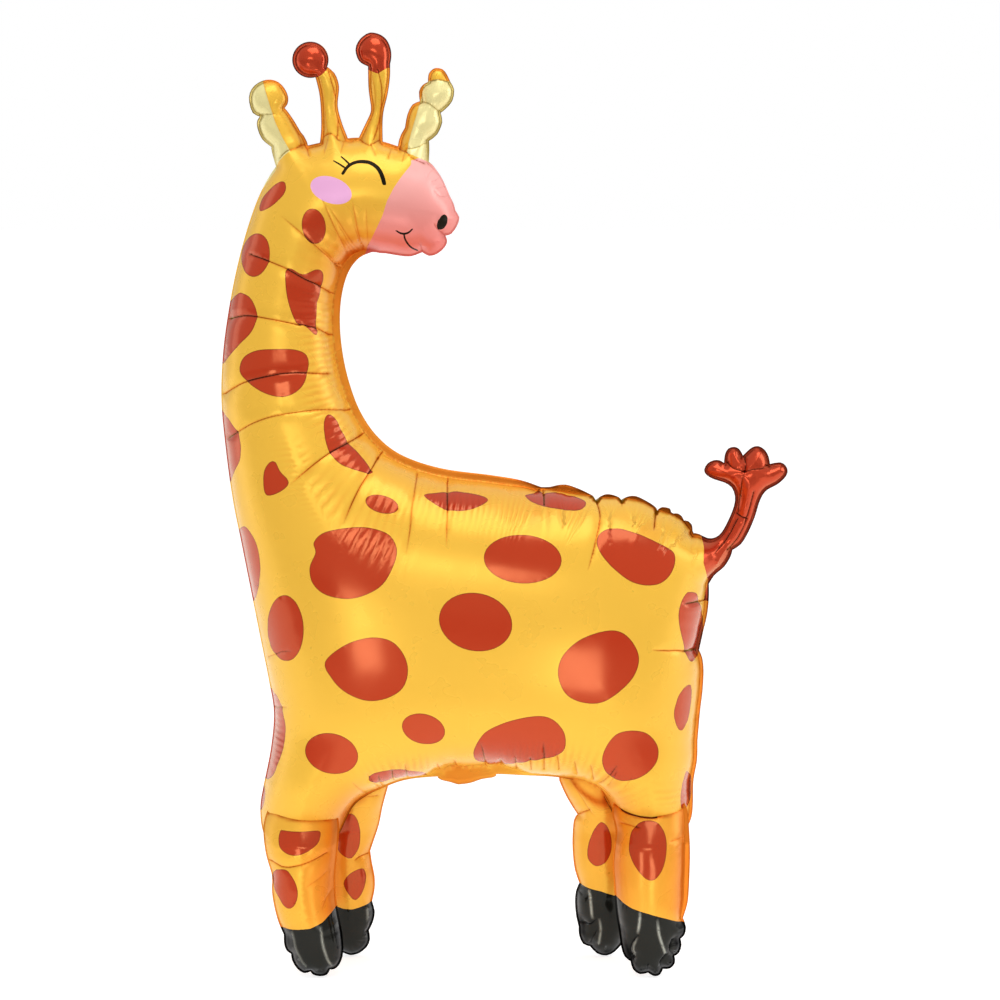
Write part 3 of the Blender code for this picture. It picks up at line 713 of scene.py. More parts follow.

# Folds across the blown skin: pixels along the valley, depth and width in millimetres and how
# dark the painted shade along it is; a negative depth is a ridge and a negative darkness a
# painted highlight streak
folds = [
    ([(279.5, 214.5), (310, 241), (343, 270)], 2, 2, 0.6),
    ([(321.4, 197.5), (334, 226), (351, 259)], 1.8, 2, 0.5),
    ([(352, 199.3), (355, 215), (358, 231.4), (364, 251)], 1.4, 1.8, 0.5),
    ([(250, 254), (268, 261), (287.5, 269.3), (305, 279), (322.3, 286.8), (341, 298)], 2.6, 2.4, 0.8),
    ([(224, 320), (235, 316.5), (248, 315.4), (270, 319), (294.6, 323.8), (317.9, 327.9),
      (338, 338)], 2.8, 2.4, 0.8),
    ([(222, 394), (242.9, 382.3), (271.4, 375.2), (290, 372.8), (308, 372.5), (330, 373)], 3, 2.4, 0.9),
    ([(228, 437), (250, 424), (271.4, 416.4), (300, 411.5), (328.6, 408.6), (354, 409.5)], 2.8, 2.4, 0.7),
    ([(288, 486), (310, 467), (329, 453.2), (348, 442), (366, 432)], 3, 2.4, 0.9),
    ([(342.9, 525), (351, 505), (360.7, 485.7), (371.4, 468.8), (384, 449)], 2.8, 2.2, 0.9),
    ([(406, 555), (410, 530), (412.5, 507), (418, 472)], 1.6, 2, 0.6),
    ([(446.4, 548), (447.3, 515), (448, 476)], 1.4, 1.8, 0.7),
    ([(587.5, 572), (593, 553), (597, 535.7), (600, 520), (599.5, 508), (596, 497)], 3, 2.2, 0.8),
    ([(654, 530), (656, 518), (657, 508)], 3, 1.8, 0.9),
    ([(544, 502), (544, 494), (542, 486)], 3.4, 1.6, 0.9),
    ([(683.8, 604.6), (694, 602), (706, 600)], 2.2, 1.6, 0.8),
    ([(650.7, 649.8), (670, 651), (685, 650), (700, 649)], 2.6, 2, 0.9),
    ([(272, 707), (280, 706.5), (288, 706.5)], 1.4, 1.4, 0.4),
    ([(268, 656), (280, 652), (292, 651)], 1.4, 1.4, 0.4),
    ([(480, 742), (484, 756), (486, 770)], 1.8, 1.4, 0.5),
    ([(543, 741), (544, 755), (544, 768)], 1.8, 1.4, 0.5),
    ([(600, 783), (610, 775), (618, 764)], 1.6, 1.4, 0.5),
    ([(405, 764), (408, 777)], 1.6, 1.4, 0.5),
    # short gathers along the belly and fan lines at the throat
    ([(500, 757), (501, 769)], 1.6, 1.2, 0.6), ([(515, 755), (516, 769)], 1.4, 1.2, 0.5),
    ([(530, 756), (531, 770)], 1.6, 1.2, 0.6), ([(557, 753), (559, 768)], 1.4, 1.2, 0.5),
    ([(574, 760), (577, 774)], 1.4, 1.2, 0.4), ([(590, 764), (593, 779)], 1.4, 1.2, 0.4),
    ([(455, 762), (458, 774)], 1.4, 1.2, 0.5), ([(438, 765), (441, 776)], 1.4, 1.2, 0.5),
    ([(392, 768), (394, 780)], 1.4, 1.2, 0.6), ([(378, 774), (383, 786)], 1.4, 1.2, 0.5),
    ([(352, 782), (368, 794)], 1.4, 1.4, 0.3), ([(366, 772), (379, 787)], 1.2, 1.4, 0.3),
    ([(617, 770), (608, 785)], 1.2, 1.4, 0.3), ([(633, 776), (622, 790)], 1, 1.4, 0.2),
    ([(328.6, 206), (345, 232), (360.6, 254)], 0.9, 1.2, 0.45),
    ([(334, 217), (346, 238), (356, 256)], 0.7, 1, 0.35),
    ([(341, 236.7), (349, 248), (354, 258)], 0.7, 1, 0.4),
    ([(353.6, 224), (359, 240), (363, 253)], 0.7, 1, 0.4),
    ([(316, 243.6), (330, 256), (342.5, 268)], 0.8, 1.2, 0.45),
    ([(366, 205), (367, 228), (369, 250)], 0.6, 1, 0.3),
    # crinkles along the crown
    ([(279, 158), (286, 151), (296, 147.3), (306.3, 143.8)], 1.6, 1.2, 0.6),
    ([(306, 144), (313, 142), (321, 139)], 1.4, 1.2, 0.5),
    ([(320, 139), (330.4, 133), (341, 139)], 1.6, 1.2, 0.6),
    ([(341, 139), (350, 142), (359, 139)], 1.2, 1.2, 0.3),
    ([(358.8, 139), (369.9, 144), (379.4, 140.4)], 1.6, 1.2, 0.6),
    ([(382, 144), (392.3, 147.3), (406, 150.7), (410, 156), (425, 162.7)], 1.6, 1.2, 0.6),
    ([(306.3, 144), (309, 154)], 1.4, 1.2, 0.4), ([(327, 139), (324, 150)], 1.2, 1.2, 0.3),
    ([(345, 141), (341, 151)], 1, 1.2, 0.3), ([(372, 143), (376, 153)], 1.2, 1.2, 0.3),
    ([(392, 147), (389, 157)], 1.2, 1.2, 0.3), ([(404, 151), (402, 162)], 1.2, 1.2, 0.3),
    # flutes of the horns
    ([(328.7, 71.6), (333.8, 88.8), (336.4, 104.3), (338, 121), (339, 138)], 1.2, 1.2, 0.6),
    ([(320.9, 78.5), (325.2, 112.9), (328.7, 137)], -1, 1.4, 0.25),
    ([(377.7, 69.9), (382, 88.8), (380.2, 116.3), (375.1, 138.7)], 1.2, 1.2, 0.6),
    ([(371, 72), (375.5, 92.2), (373.6, 112.9), (365, 137)], -1, 1.4, 0.25),
    # ears: a ridge down each, and creases between the lobes
    ([(263.3, 82.8), (270, 104), (276.2, 123.2), (283.5, 138), (289.5, 150)], -1.6, 1.8, 0.15),
    ([(285, 109), (291, 122), (298, 134), (304, 147)], 1, 1.2, 0.4),
    ([(260, 116), (266, 114.5), (274, 114)], 1.4, 1.2, 0.4),
    ([(421.5, 97), (417, 115), (411.5, 134), (407, 150)], -1.4, 1.6, 0.15),
    ([(420, 101), (427, 103), (434, 107), (440, 113)], 1.4, 1.2, 0.5),
    ([(405, 148), (417, 147.5), (429, 141)], 1.4, 1.2, 0.5),
    ([(428, 82), (438, 79.5), (450, 82.5)], 1.6, 1.2, 0.6),
    # facets of the tail
    ([(725.5, 460.5), (731, 467), (738, 469.5), (744.1, 470.8)], 2.4, 1.4, 0.7),
    ([(743, 455.5), (745.5, 463), (744.1, 470.8)], 2.2, 1.4, 0.7),
    ([(769, 463.7), (762.6, 468), (753, 469), (744.1, 470.8)], 2.2, 1.4, 0.6),
    ([(734, 452), (737, 460), (741, 466)], -2.2, 1.8, 0),
    ([(760.4, 453), (756, 461), (748, 468)], -2.4, 1.8, 0),
    ([(713, 467), (722, 471), (733, 475)], -2.2, 1.8, 0),
    ([(780, 469), (768, 475), (756, 477)], -1.8, 1.8, 0),
    ([(744.1, 472), (741.5, 480), (739.5, 495), (737.5, 512)], 2.2, 1.4, 0.6),
    ([(750, 478), (748.4, 489), (746.3, 502), (744, 514)], -2, 1.5, 0),
    ([(736.5, 513), (741, 516.5), (747.5, 518.5)], 2.4, 1.3, 0.8),
    ([(743, 521), (738, 530), (732.2, 539), (724, 551), (716, 563)], -2.2, 1.6, 0),
    ([(737, 519), (731, 530), (723, 543), (712, 556)], 2.4, 1.4, 0.8),
    ([(754, 493), (750, 508), (745, 524), (738, 538), (728, 550)], 1.8, 1.3, 0.7),
    # muzzle puckers
    ([(445.5, 235.6), (438, 229), (434, 222)], 1.6, 1.4, 0.5),
    ([(422.3, 252.2), (421, 246)], 1.4, 1.2, 0.5),
    ([(449.7, 195.8), (442, 196), (436, 191)], 1.2, 1.2, 0.15),
    ([(446, 186), (438, 188)], 1, 1.2, 0.1), ([(441, 177), (433, 181)], 1, 1.2, 0.1),
    ([(434, 168), (428, 176)], 1, 1.2, 0.1),
]


paintedShadeAndLight = {                     # painted shade and painted highlight beside welds and folds, in metres
    "foldLine": 0.00075,     # painted shade: dark line at the bottom of a fold
    # painted highlight: light streak along a ridge
    "streak": 0.0011,
    "openEnd": 0.014,        # a fold that ends further than this from the weld fades out
    "rim": 0.0014,           # painted shade at the cut edge of the weld; half the margin where that is more
    # painted shade along the root of the margin
    "rootLine": 0.0007,
    "orangeBand": 0.028,     # painted orange shade in from the weld, as along the inner side of the neck
    "pressed": 0.006,        # painted shade where legs press together
    # painted shade at the edges of the hooves
    "hoofEdge": 0.0030,
    "legCrease": 0.0032,     # painted shade: dark crease where a leg comes out of the body
    "legCreaseShade": 0.6,   # a share, like the next
    "legOrange": 0.22,       # painted shade: how much more orange the legs are
}


def foldField(lines, sheet):
    # at each point how deep the folds are, the painted shade at their bottom and a painted highlight streak
    at, inner = sheet["verts"], sheet["inner"]
    inward = NearestOn(at)
    drop, dark, light = (np.zeros(len(at)) for _ in range(3))
    for points, depth, width, darkness in lines:
        depth, width = depth / 1000, width / 1000
        path = evenRun(points, 0.0008)
        _, ends = inward.query([path[0], path[-1]])
        lo, hi = path.min(axis=0) - 12 * width, path.max(axis=0) + 12 * width
        close = np.flatnonzero(np.all((at > lo) & (at < hi), axis=1))
        gap, where = NearestOn(path).query(at[close])
        t = where / max(1, len(path) - 1)
        fade = np.ones(len(close))
        for share, end in ((t, ends[0]), (1 - t, ends[1])):
            if inner[end] > paintedShadeAndLight["openEnd"]:
                fade *= np.clip(share * 3.5, 0, 1) ** 0.8
            else:
                fade *= np.where(share == 0, np.exp(-(gap / (1.5 * width)) ** 2), 1)
        valley = 0.5 * np.exp(-gap / (0.42 * width)) + 0.5 * np.exp(-(gap / (2.6 * width)) ** 2)
        drop[close] += depth * fade * valley
        dark[close] = np.maximum(dark[close], darkness * fade * np.exp(-(gap / paintedShadeAndLight["foldLine"]) ** 2))
        light[close] = np.maximum(light[close], -darkness * fade * np.exp(-(gap / paintedShadeAndLight["streak"]) ** 2))
    return drop, dark, light


pleatOctaves = [             # spacing, depth and reach in from the weld, metres
    (0.0075, 0.00045, 0.0130), (0.0125, 0.00075, 0.0210), (0.0230, 0.00110, 0.0360),
    (0.0480, 0.00110, 0.0700),
]
marginOctaves = [(0.016, 0.0007), (0.031, 0.0011), (0.07, 0.0012)]   # spacing and size, metres


def pleatField(sheet, inner, seed):
    # valleys that run in from the weld, sharp at the bottom, each of its own length
    draw = np.random.default_rng(seed)
    length = sheet["length"]
    place = sheet["place"]
    drop = np.zeros(len(place))
    for spacing, depth, reach in pleatOctaves:
        count = max(4, round(length / spacing))
        at = (np.arange(count) + draw.uniform(-0.34, 0.34, count)) * length / count
        strength = draw.uniform(0.15, 1.0, count) ** 1.3
        reaches = reach * draw.uniform(0.45, 1.7, count)
        right = np.searchsorted(at, place) % count
        for which in (right, (right - 1) % count):
            gap = np.abs(place - at[which])
            gap = np.minimum(gap, length - gap) / (0.62 * spacing)
            # the valley widens as it runs in
            spread = 1 + 0.5 * np.clip(inner / reaches[which], 0, 2)
            valley = np.clip(1 - gap / spread, 0, 1) ** 1.8
            fade = np.exp(-(np.clip(inner, 0, None) / reaches[which]) ** 1.6)
            drop += depth * strength[which] * valley * fade
    return drop


def normalsOf(points, tris):
    a, b, c = (points[tris[:, k]] for k in range(3))
    face = np.cross(b - a, c - a)
    normal = np.zeros_like(points)
    for k in range(3):
        for axis in range(3):
            normal[:, axis] += np.bincount(tris[:, k], face[:, axis], len(points))
    return normal / (np.linalg.norm(normal, axis=1)[:, None] + 1e-20)


def sheetSides(sheet, height, foldLines, seed, middle=None):
    # the near and the far sheet in space, with pleats, folds and a wavy margin, and for each
    # point its painted shade, its weld orange and painted orange shade, its ripple (on a leg its
    # painted highlight streak) and its place along the weld; middle is given for a leg, whose
    # sheets don't lie about the plane y = 0
    verts, tris = sheet["verts"], sheet["tris"]
    margin, pleats, darkEdge, weldOrangeAndShade = sheet["along"].T
    inner = sheet["inner"]
    free = inner > 0.0002
    base = np.zeros(len(verts)) if middle is None else middle(verts[:, 1])
    foldDrop, dark, light = foldField(foldLines, sheet)
    wave = marginWave(sheet, seed + 9) * np.clip(1 - inner / 0.0035, 0, 1)
    soft = np.clip(height / 0.010, 0, 1) * np.clip(inner / 0.0014, 0, 1)
    depth = np.clip(inner, 0, None)
    # painted shade: dark at the welded edge and the margin's root, over the whole margin where darkness
    # passes 1, and where legs press together
    rim = np.clip(1.25 - sheet["distance"] / np.maximum(0.5 * margin, paintedShadeAndLight["rim"]), 0, 1) * darkEdge
    root = np.exp(-(inner / paintedShadeAndLight["rootLine"]) ** 2) * (0.15 * np.clip(weldOrangeAndShade, 0, 1) + 0.6 * darkEdge)
    pressed = 0.5 * np.clip((weldOrangeAndShade - 1.05) / 0.4, 0, 1) * np.exp(-(depth / paintedShadeAndLight["pressed"]) ** 2)
    shades = [dark * (inner > 0), rim, np.clip(darkEdge - 1, 0, 1) * (inner < 0), root, pressed]
    # painted shade darkens the edges of the hooves
    if middle is not None:
        shades.append((darkEdge > 0.9)
                      * np.exp(-(np.clip(inner - 0.001, 0, None) / paintedShadeAndLight["hoofEdge"]) ** 2))
    shade = np.clip(np.max(shades, axis=0), 0, 1)
    # the margin takes the weld's orange; in from it a painted orange shade, more on the legs
    band = 1.5 * np.clip(weldOrangeAndShade - 0.75, 0, 1) * np.exp(-depth / paintedShadeAndLight["orangeBand"])
    orange = np.where(inner < 0, weldOrangeAndShade, band) + (0 if middle is None else paintedShadeAndLight["legOrange"])
    # on the body the ripples' strength; on a leg its painted highlight streaks
    rippleAndHighlight = rippleSize(sheet) if middle is None else light
    sides, looks = [], []
    for side, sign in enumerate((-1, 1)):
        points = np.column_stack([verts[:, 0], base + sign * (height + weldThickness / 2), verts[:, 1]])
        normal = normalsOf(points, tris if side == 0 else tris[:, ::-1])
        drop = (pleatField(sheet, inner, seed + side) * pleats + foldDrop) * soft
        turn = 1 - np.abs(normal[:, 1])
        points[free] -= (normal * drop[:, None])[free]
        points[:, 1] += wave
        # surfaces turned sideways get a little more painted orange shade
        tone = np.clip(orange + 0.08 * turn ** 2 * (weldOrangeAndShade > 0.02), 0, 1)
        sides.append(points)
        looks.append(np.column_stack([shade, tone, rippleAndHighlight, sheet["place"]]))
    return sides, looks


def marginWave(sheet, seed):
    # the welded margin doesn't lie quite flat
    draw = np.random.default_rng(seed)
    place, length = sheet["place"], sheet["length"]
    wave = np.zeros(len(place))
    for spacing, size in marginOctaves:
        count = round(length / spacing)
        values = draw.uniform(-1, 1, count + 1)
        values[-1] = values[0]
        wave += size * np.interp(place / length * count, np.arange(count + 1), values)
    return wave * np.clip(sheet["along"][:, 1], 0.4, 1.2)


def materialOf(sheet, marks, names):
    # the print that each triangle lies in, later marks over earlier ones
    centres = sheet["verts"][sheet["tris"]].mean(axis=1)
    slot = np.zeros(len(centres), dtype=int)
    for name, ring in marks:
        slot[inside(centres, ring)] = names.index(name)
    return slot


# painted shade, weld orange with painted orange shade, ripples (on legs painted highlight streaks), place
# along the weld
lookNames = ("foldShade", "weldOrangeAndPaintedShade", "rippleAndHighlight", "weldRun")


def closedSkin(name, sheet, sides, looks, slots, names):
    # one mesh of the near sheet, the far sheet and the cut edge of the weld between them
    tris, count = sheet["tris"], len(sheet["verts"])
    directed = np.vstack([tris[:, [0, 1]], tris[:, [1, 2]], tris[:, [2, 0]]])
    keys = directed[:, 0] * count + directed[:, 1]
    back = directed[:, 1] * count + directed[:, 0]
    rim = directed[~np.isin(keys, back)]
    owner = np.tile(np.arange(len(tris)), 3)[~np.isin(keys, back)]
    rimFaces = np.column_stack([rim[:, 1], rim[:, 0], rim[:, 0] + count, rim[:, 1] + count])
    mesh = bpy.data.meshes.new(name)
    faces = tris.tolist() + (tris[:, ::-1] + count).tolist() + rimFaces.tolist()
    mesh.from_pydata(np.vstack(sides).tolist(), [], faces)
    slots = np.concatenate([slots, slots, slots[owner]]).astype(np.int32)
    mesh.polygons.foreach_set("material_index", slots)
    mesh.polygons.foreach_set("use_smooth", np.ones(len(faces), dtype=bool))
    for i, attribute in enumerate(lookNames):
        values = mesh.attributes.new(attribute, "FLOAT", "POINT")
        values.data.foreach_set("value", np.vstack(looks)[:, i].astype(np.float32))
    for material in names:
        mesh.materials.append(materials[material])
    mesh.update()
    piece = bpy.data.objects.new(name, mesh)
    bpy.context.scene.collection.objects.link(piece)
    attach(piece, "root")
    return piece


# Materials
class Socket:
    # one value inside a material; sums and products add their Math nodes
    def __init__(self, build, link):
        self.build = build
        self.link = link

    def work(self, operation, other):
        return self.build.node("ShaderNodeMath", {"operation": operation}, [self, other])

    def __add__(self, other):
        return self.work("ADD", other)

    def __mul__(self, other):
        return self.work("MULTIPLY", other)

    __radd__ = __add__
    __rmul__ = __mul__


class NodeBuild:
    # the nodes of a material or of the world
    def __init__(self, owner):
        owner.use_nodes = True
        self.nodes = owner.node_tree.nodes
        self.links = owner.node_tree.links

    def set(self, socket, value):
        if isinstance(value, Socket):
            self.links.new(value.link, socket)
        else:
            socket.default_value = value

    def node(self, kind, settings=None, inputs=(), output=0):
        made = self.nodes.new(kind)
        for key, value in (settings or {}).items():
            setattr(made, key, value)
        pairs = inputs.items() if isinstance(inputs, dict) else enumerate(inputs)
        for key, value in pairs:
            self.set(made.inputs[key], value)
        return Socket(self, made.outputs[output])

    def mix(self, factor, a, b):
        # a Mix node has sockets for each kind of value; 6, 7 and 2 are the colours'
        return self.node("ShaderNodeMix", {"data_type": "RGBA"}, {0: factor, 6: a, 7: b}, 2)

    def range(self, value, low, high, toLow=0.0, toHigh=1.0):
        return self.node("ShaderNodeMapRange", {"clamp": True}, [value, low, high, toLow, toHigh])

    def attribute(self, name):
        return self.node("ShaderNodeAttribute", {"attribute_name": name}, output=2)

    def noise(self, place, scale, detail, roughness, distortion=0.0):
        return self.node("ShaderNodeTexNoise", None,
                         {"Vector": place, "Scale": scale, "Detail": detail,
                          "Roughness": roughness, "Distortion": distortion})

    def bump(self, height, distance, strength, normal=None):
        inputs = {"Strength": strength, "Distance": distance, "Height": height}
        if normal is not None:
            inputs["Normal"] = normal
        return self.node("ShaderNodeBump", None, inputs)


# richer colour: weld orange and painted orange shade, the muzzle's lower pink, the hooves' painted
# highlight streaks; deepest: painted shade
foilLooks = {                # colour, richer and deepest colour, roughness, metallic, mirror strength
    "yellowFoil": ((0.89, 0.507, 0.055), (0.78, 0.22, 0.012), (0.60, 0.13, 0.008), 0.28, 0.18, 0.45),
    "spotFoil": ((0.51, 0.026, 0.006), (0.38, 0.024, 0.006), (0.080, 0.004, 0.002), 0.16, 0.15, 0.85),
    "spotRim": ((0.30, 0.020, 0.006), (0.29, 0.019, 0.005), (0.060, 0.004, 0.002), 0.20, 0.15, 0.8),
    "tailFoil": ((0.54, 0.040, 0.015), (0.42, 0.028, 0.010), (0.080, 0.005, 0.003), 0.18, 0.50, 0.8),
    "creamFoil": ((0.88, 0.77, 0.35), (0.72, 0.55, 0.14), (0.34, 0.22, 0.03), 0.26, 0.20, 0.5),
    "muzzleFoil": ((0.92, 0.435, 0.405), (0.80, 0.155, 0.12), (0.50, 0.07, 0.05), 0.32, 0.15, 0.5),
    "cheekFoil": ((0.82, 0.41, 0.67), (0.79, 0.385, 0.64), (0.50, 0.20, 0.40), 0.38, 0.10, 0.3),
    "inkFoil": ((0.005, 0.004, 0.003), (0.005, 0.004, 0.003), (0.004, 0.003, 0.003), 0.40, 0.0, 0.1),
    "hoofFoil": ((0.012, 0.012, 0.009), (0.42, 0.42, 0.36), (0.003, 0.003, 0.003), 0.15, 0.60, 0.40),
}
mirrorTint = {"hoofFoil": (1, 1, 1, 1), "creamFoil": (1, 1, 0.8, 1), "muzzleFoil": (1, 0.9, 0.85, 1),
              "cheekFoil": (1, 0.9, 1, 1)}
goldTint = (1.0, 0.80, 0.36, 1.0)       # of the mirror in the other foils
muzzleFall = (0.785, 0.865)  # heights where the muzzle's pink is deepest and palest
film = {
    "broadScale": 5.5,       # slow change of colour
    "creaseScale": 38.0,     # shallow wrinkles
    "grainScale": 150.0,
    "paler": 1.04,
    "darkest": 0.26,         # share of the deepest colour left in the darkest painted shade, as at the bottom of a fold
    "rippleTurns": 950.0,    # radians for each metre along the weld
    "rippleHeight": 0.0003,
    "creaseHeight": 0.0011,
    "creaseStrength": 0.035,
    "glassIndex": 1.5,
}


def foilMaterial(name, colour, rich, deep, roughness, metallic, mirror):
    material = bpy.data.materials.new(name)
    build = NodeBuild(material)
    surface = build.nodes["Principled BSDF"].inputs
    pale, colour, rich, deep, darkest = (
        (*(min(1.0, share * part) for part in mixed), 1.0)
        for share, mixed in ((film["paler"], colour), (1, colour), (1, rich), (1, deep),
                             (film["darkest"], deep)))
    place = build.node("ShaderNodeTexCoord", output=3)
    shade, orange, rippleAndHighlight, run = (build.attribute(key) for key in lookNames)
    broad = build.noise(place, film["broadScale"], 2.0, 0.5)
    grain = build.noise(place, film["grainScale"], 3.0, 0.55)
    crease = build.noise(place, film["creaseScale"], 2.0, 0.5, 0.2)
    wave = build.node("ShaderNodeMath", {"operation": "SINE"},
                      [run * film["rippleTurns"] + 7.0 * broad + 2.2 * crease])
    if name == "muzzleFoil":
        height = build.node("ShaderNodeSeparateXYZ", None, [place], 2)
        orange = build.range(height, *muzzleFall, 1.0, 0.0)
    if name == "hoofFoil":
        orange = rippleAndHighlight          # painted highlight streaks take the place of ripples on the hooves
    body = build.mix(build.range(broad, 0.3, 0.7), colour, pale)
    # weld orange and painted orange shade; on the muzzle the pink deepens lower down; on hooves painted
    # highlight streaks
    body = build.mix(orange, body, rich)
    if name != "hoofFoil":
        # painted shade along the ripples' valleys
        body = build.mix(rippleAndHighlight * build.range(wave, -1.0, 0.6, 0.42, 0.0), body, rich)
    # painted shade of folds, welded edges and leg creases: toward the deep colour, then the darkest
    body = build.mix(build.range(shade, 0.02, 0.55), body, deep)
    body = build.mix(build.range(shade, 0.5, 1.0), body, darkest)
    build.set(surface["Base Color"], body)
    rough = build.range(crease, 0.25, 0.75, roughness - 0.03, roughness + 0.04)
    # the painted shade is rougher and turns fully metallic, so it shows no pale sheen
    build.set(surface["Roughness"], rough + 0.08 * shade)
    build.set(surface["Metallic"], build.range(shade, 0.1, 0.7, metallic, 1.0))
    surface["IOR"].default_value = film["glassIndex"]
    surface["Specular IOR Level"].default_value = mirror
    surface["Specular Tint"].default_value = mirrorTint.get(name, goldTint)
    bump = build.bump(0.95 * crease + 0.05 * grain, film["creaseHeight"], film["creaseStrength"])
    build.set(surface["Normal"], build.bump(rippleAndHighlight * wave, film["rippleHeight"], 1.0, bump))
    return material


materials = {name: foilMaterial(name, *look) for name, look in foilLooks.items()}
print("foils mixed:", len(materials))

# Body, neck, head, ears, horns and tail
bodyNames = ["yellowFoil", "spotFoil", "spotRim", "creamFoil", "tailFoil", "muzzleFoil", "cheekFoil",
             "inkFoil"]
foldLines = [(printed(smoothRun(fold[0]), surface), *fold[1:]) for fold in folds]
bodySheet = flatSheet(bodyShapes, fineness, bodyKnots, [ring for _, ring in printOrder],
                      [line[0] for line in foldLines], rumpRoot)
print("body sheet:", len(bodySheet["verts"]), "points", len(bodySheet["tris"]), "triangles")
bodyRise = bodyHeight(bodySheet)
bodySides, bodyLooks = sheetSides(bodySheet, bodyRise, foldLines, 11)
body = closedSkin("balloonBody", bodySheet, bodySides, bodyLooks,
                  materialOf(bodySheet, printOrder, bodyNames), bodyNames)
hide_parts(nodeName)
bodySkin = Surface(bodySheet, bodyRise)
print("body blown")


# Legs: each is a blown tube of its own, its welded edge scalloped round the hoof
def legMiddle(sign):
    def middle(z):
        share = np.clip(1 - z / blown["hipHeight"], -0.2, 1)
        tuck = np.clip((blown["tuckTop"] - z) / blown["tuckDrop"], 0, 1)
        return sign * tuck * (blown["legHip"] + (blown["legSole"] - blown["legHip"]) * share)
    return middle


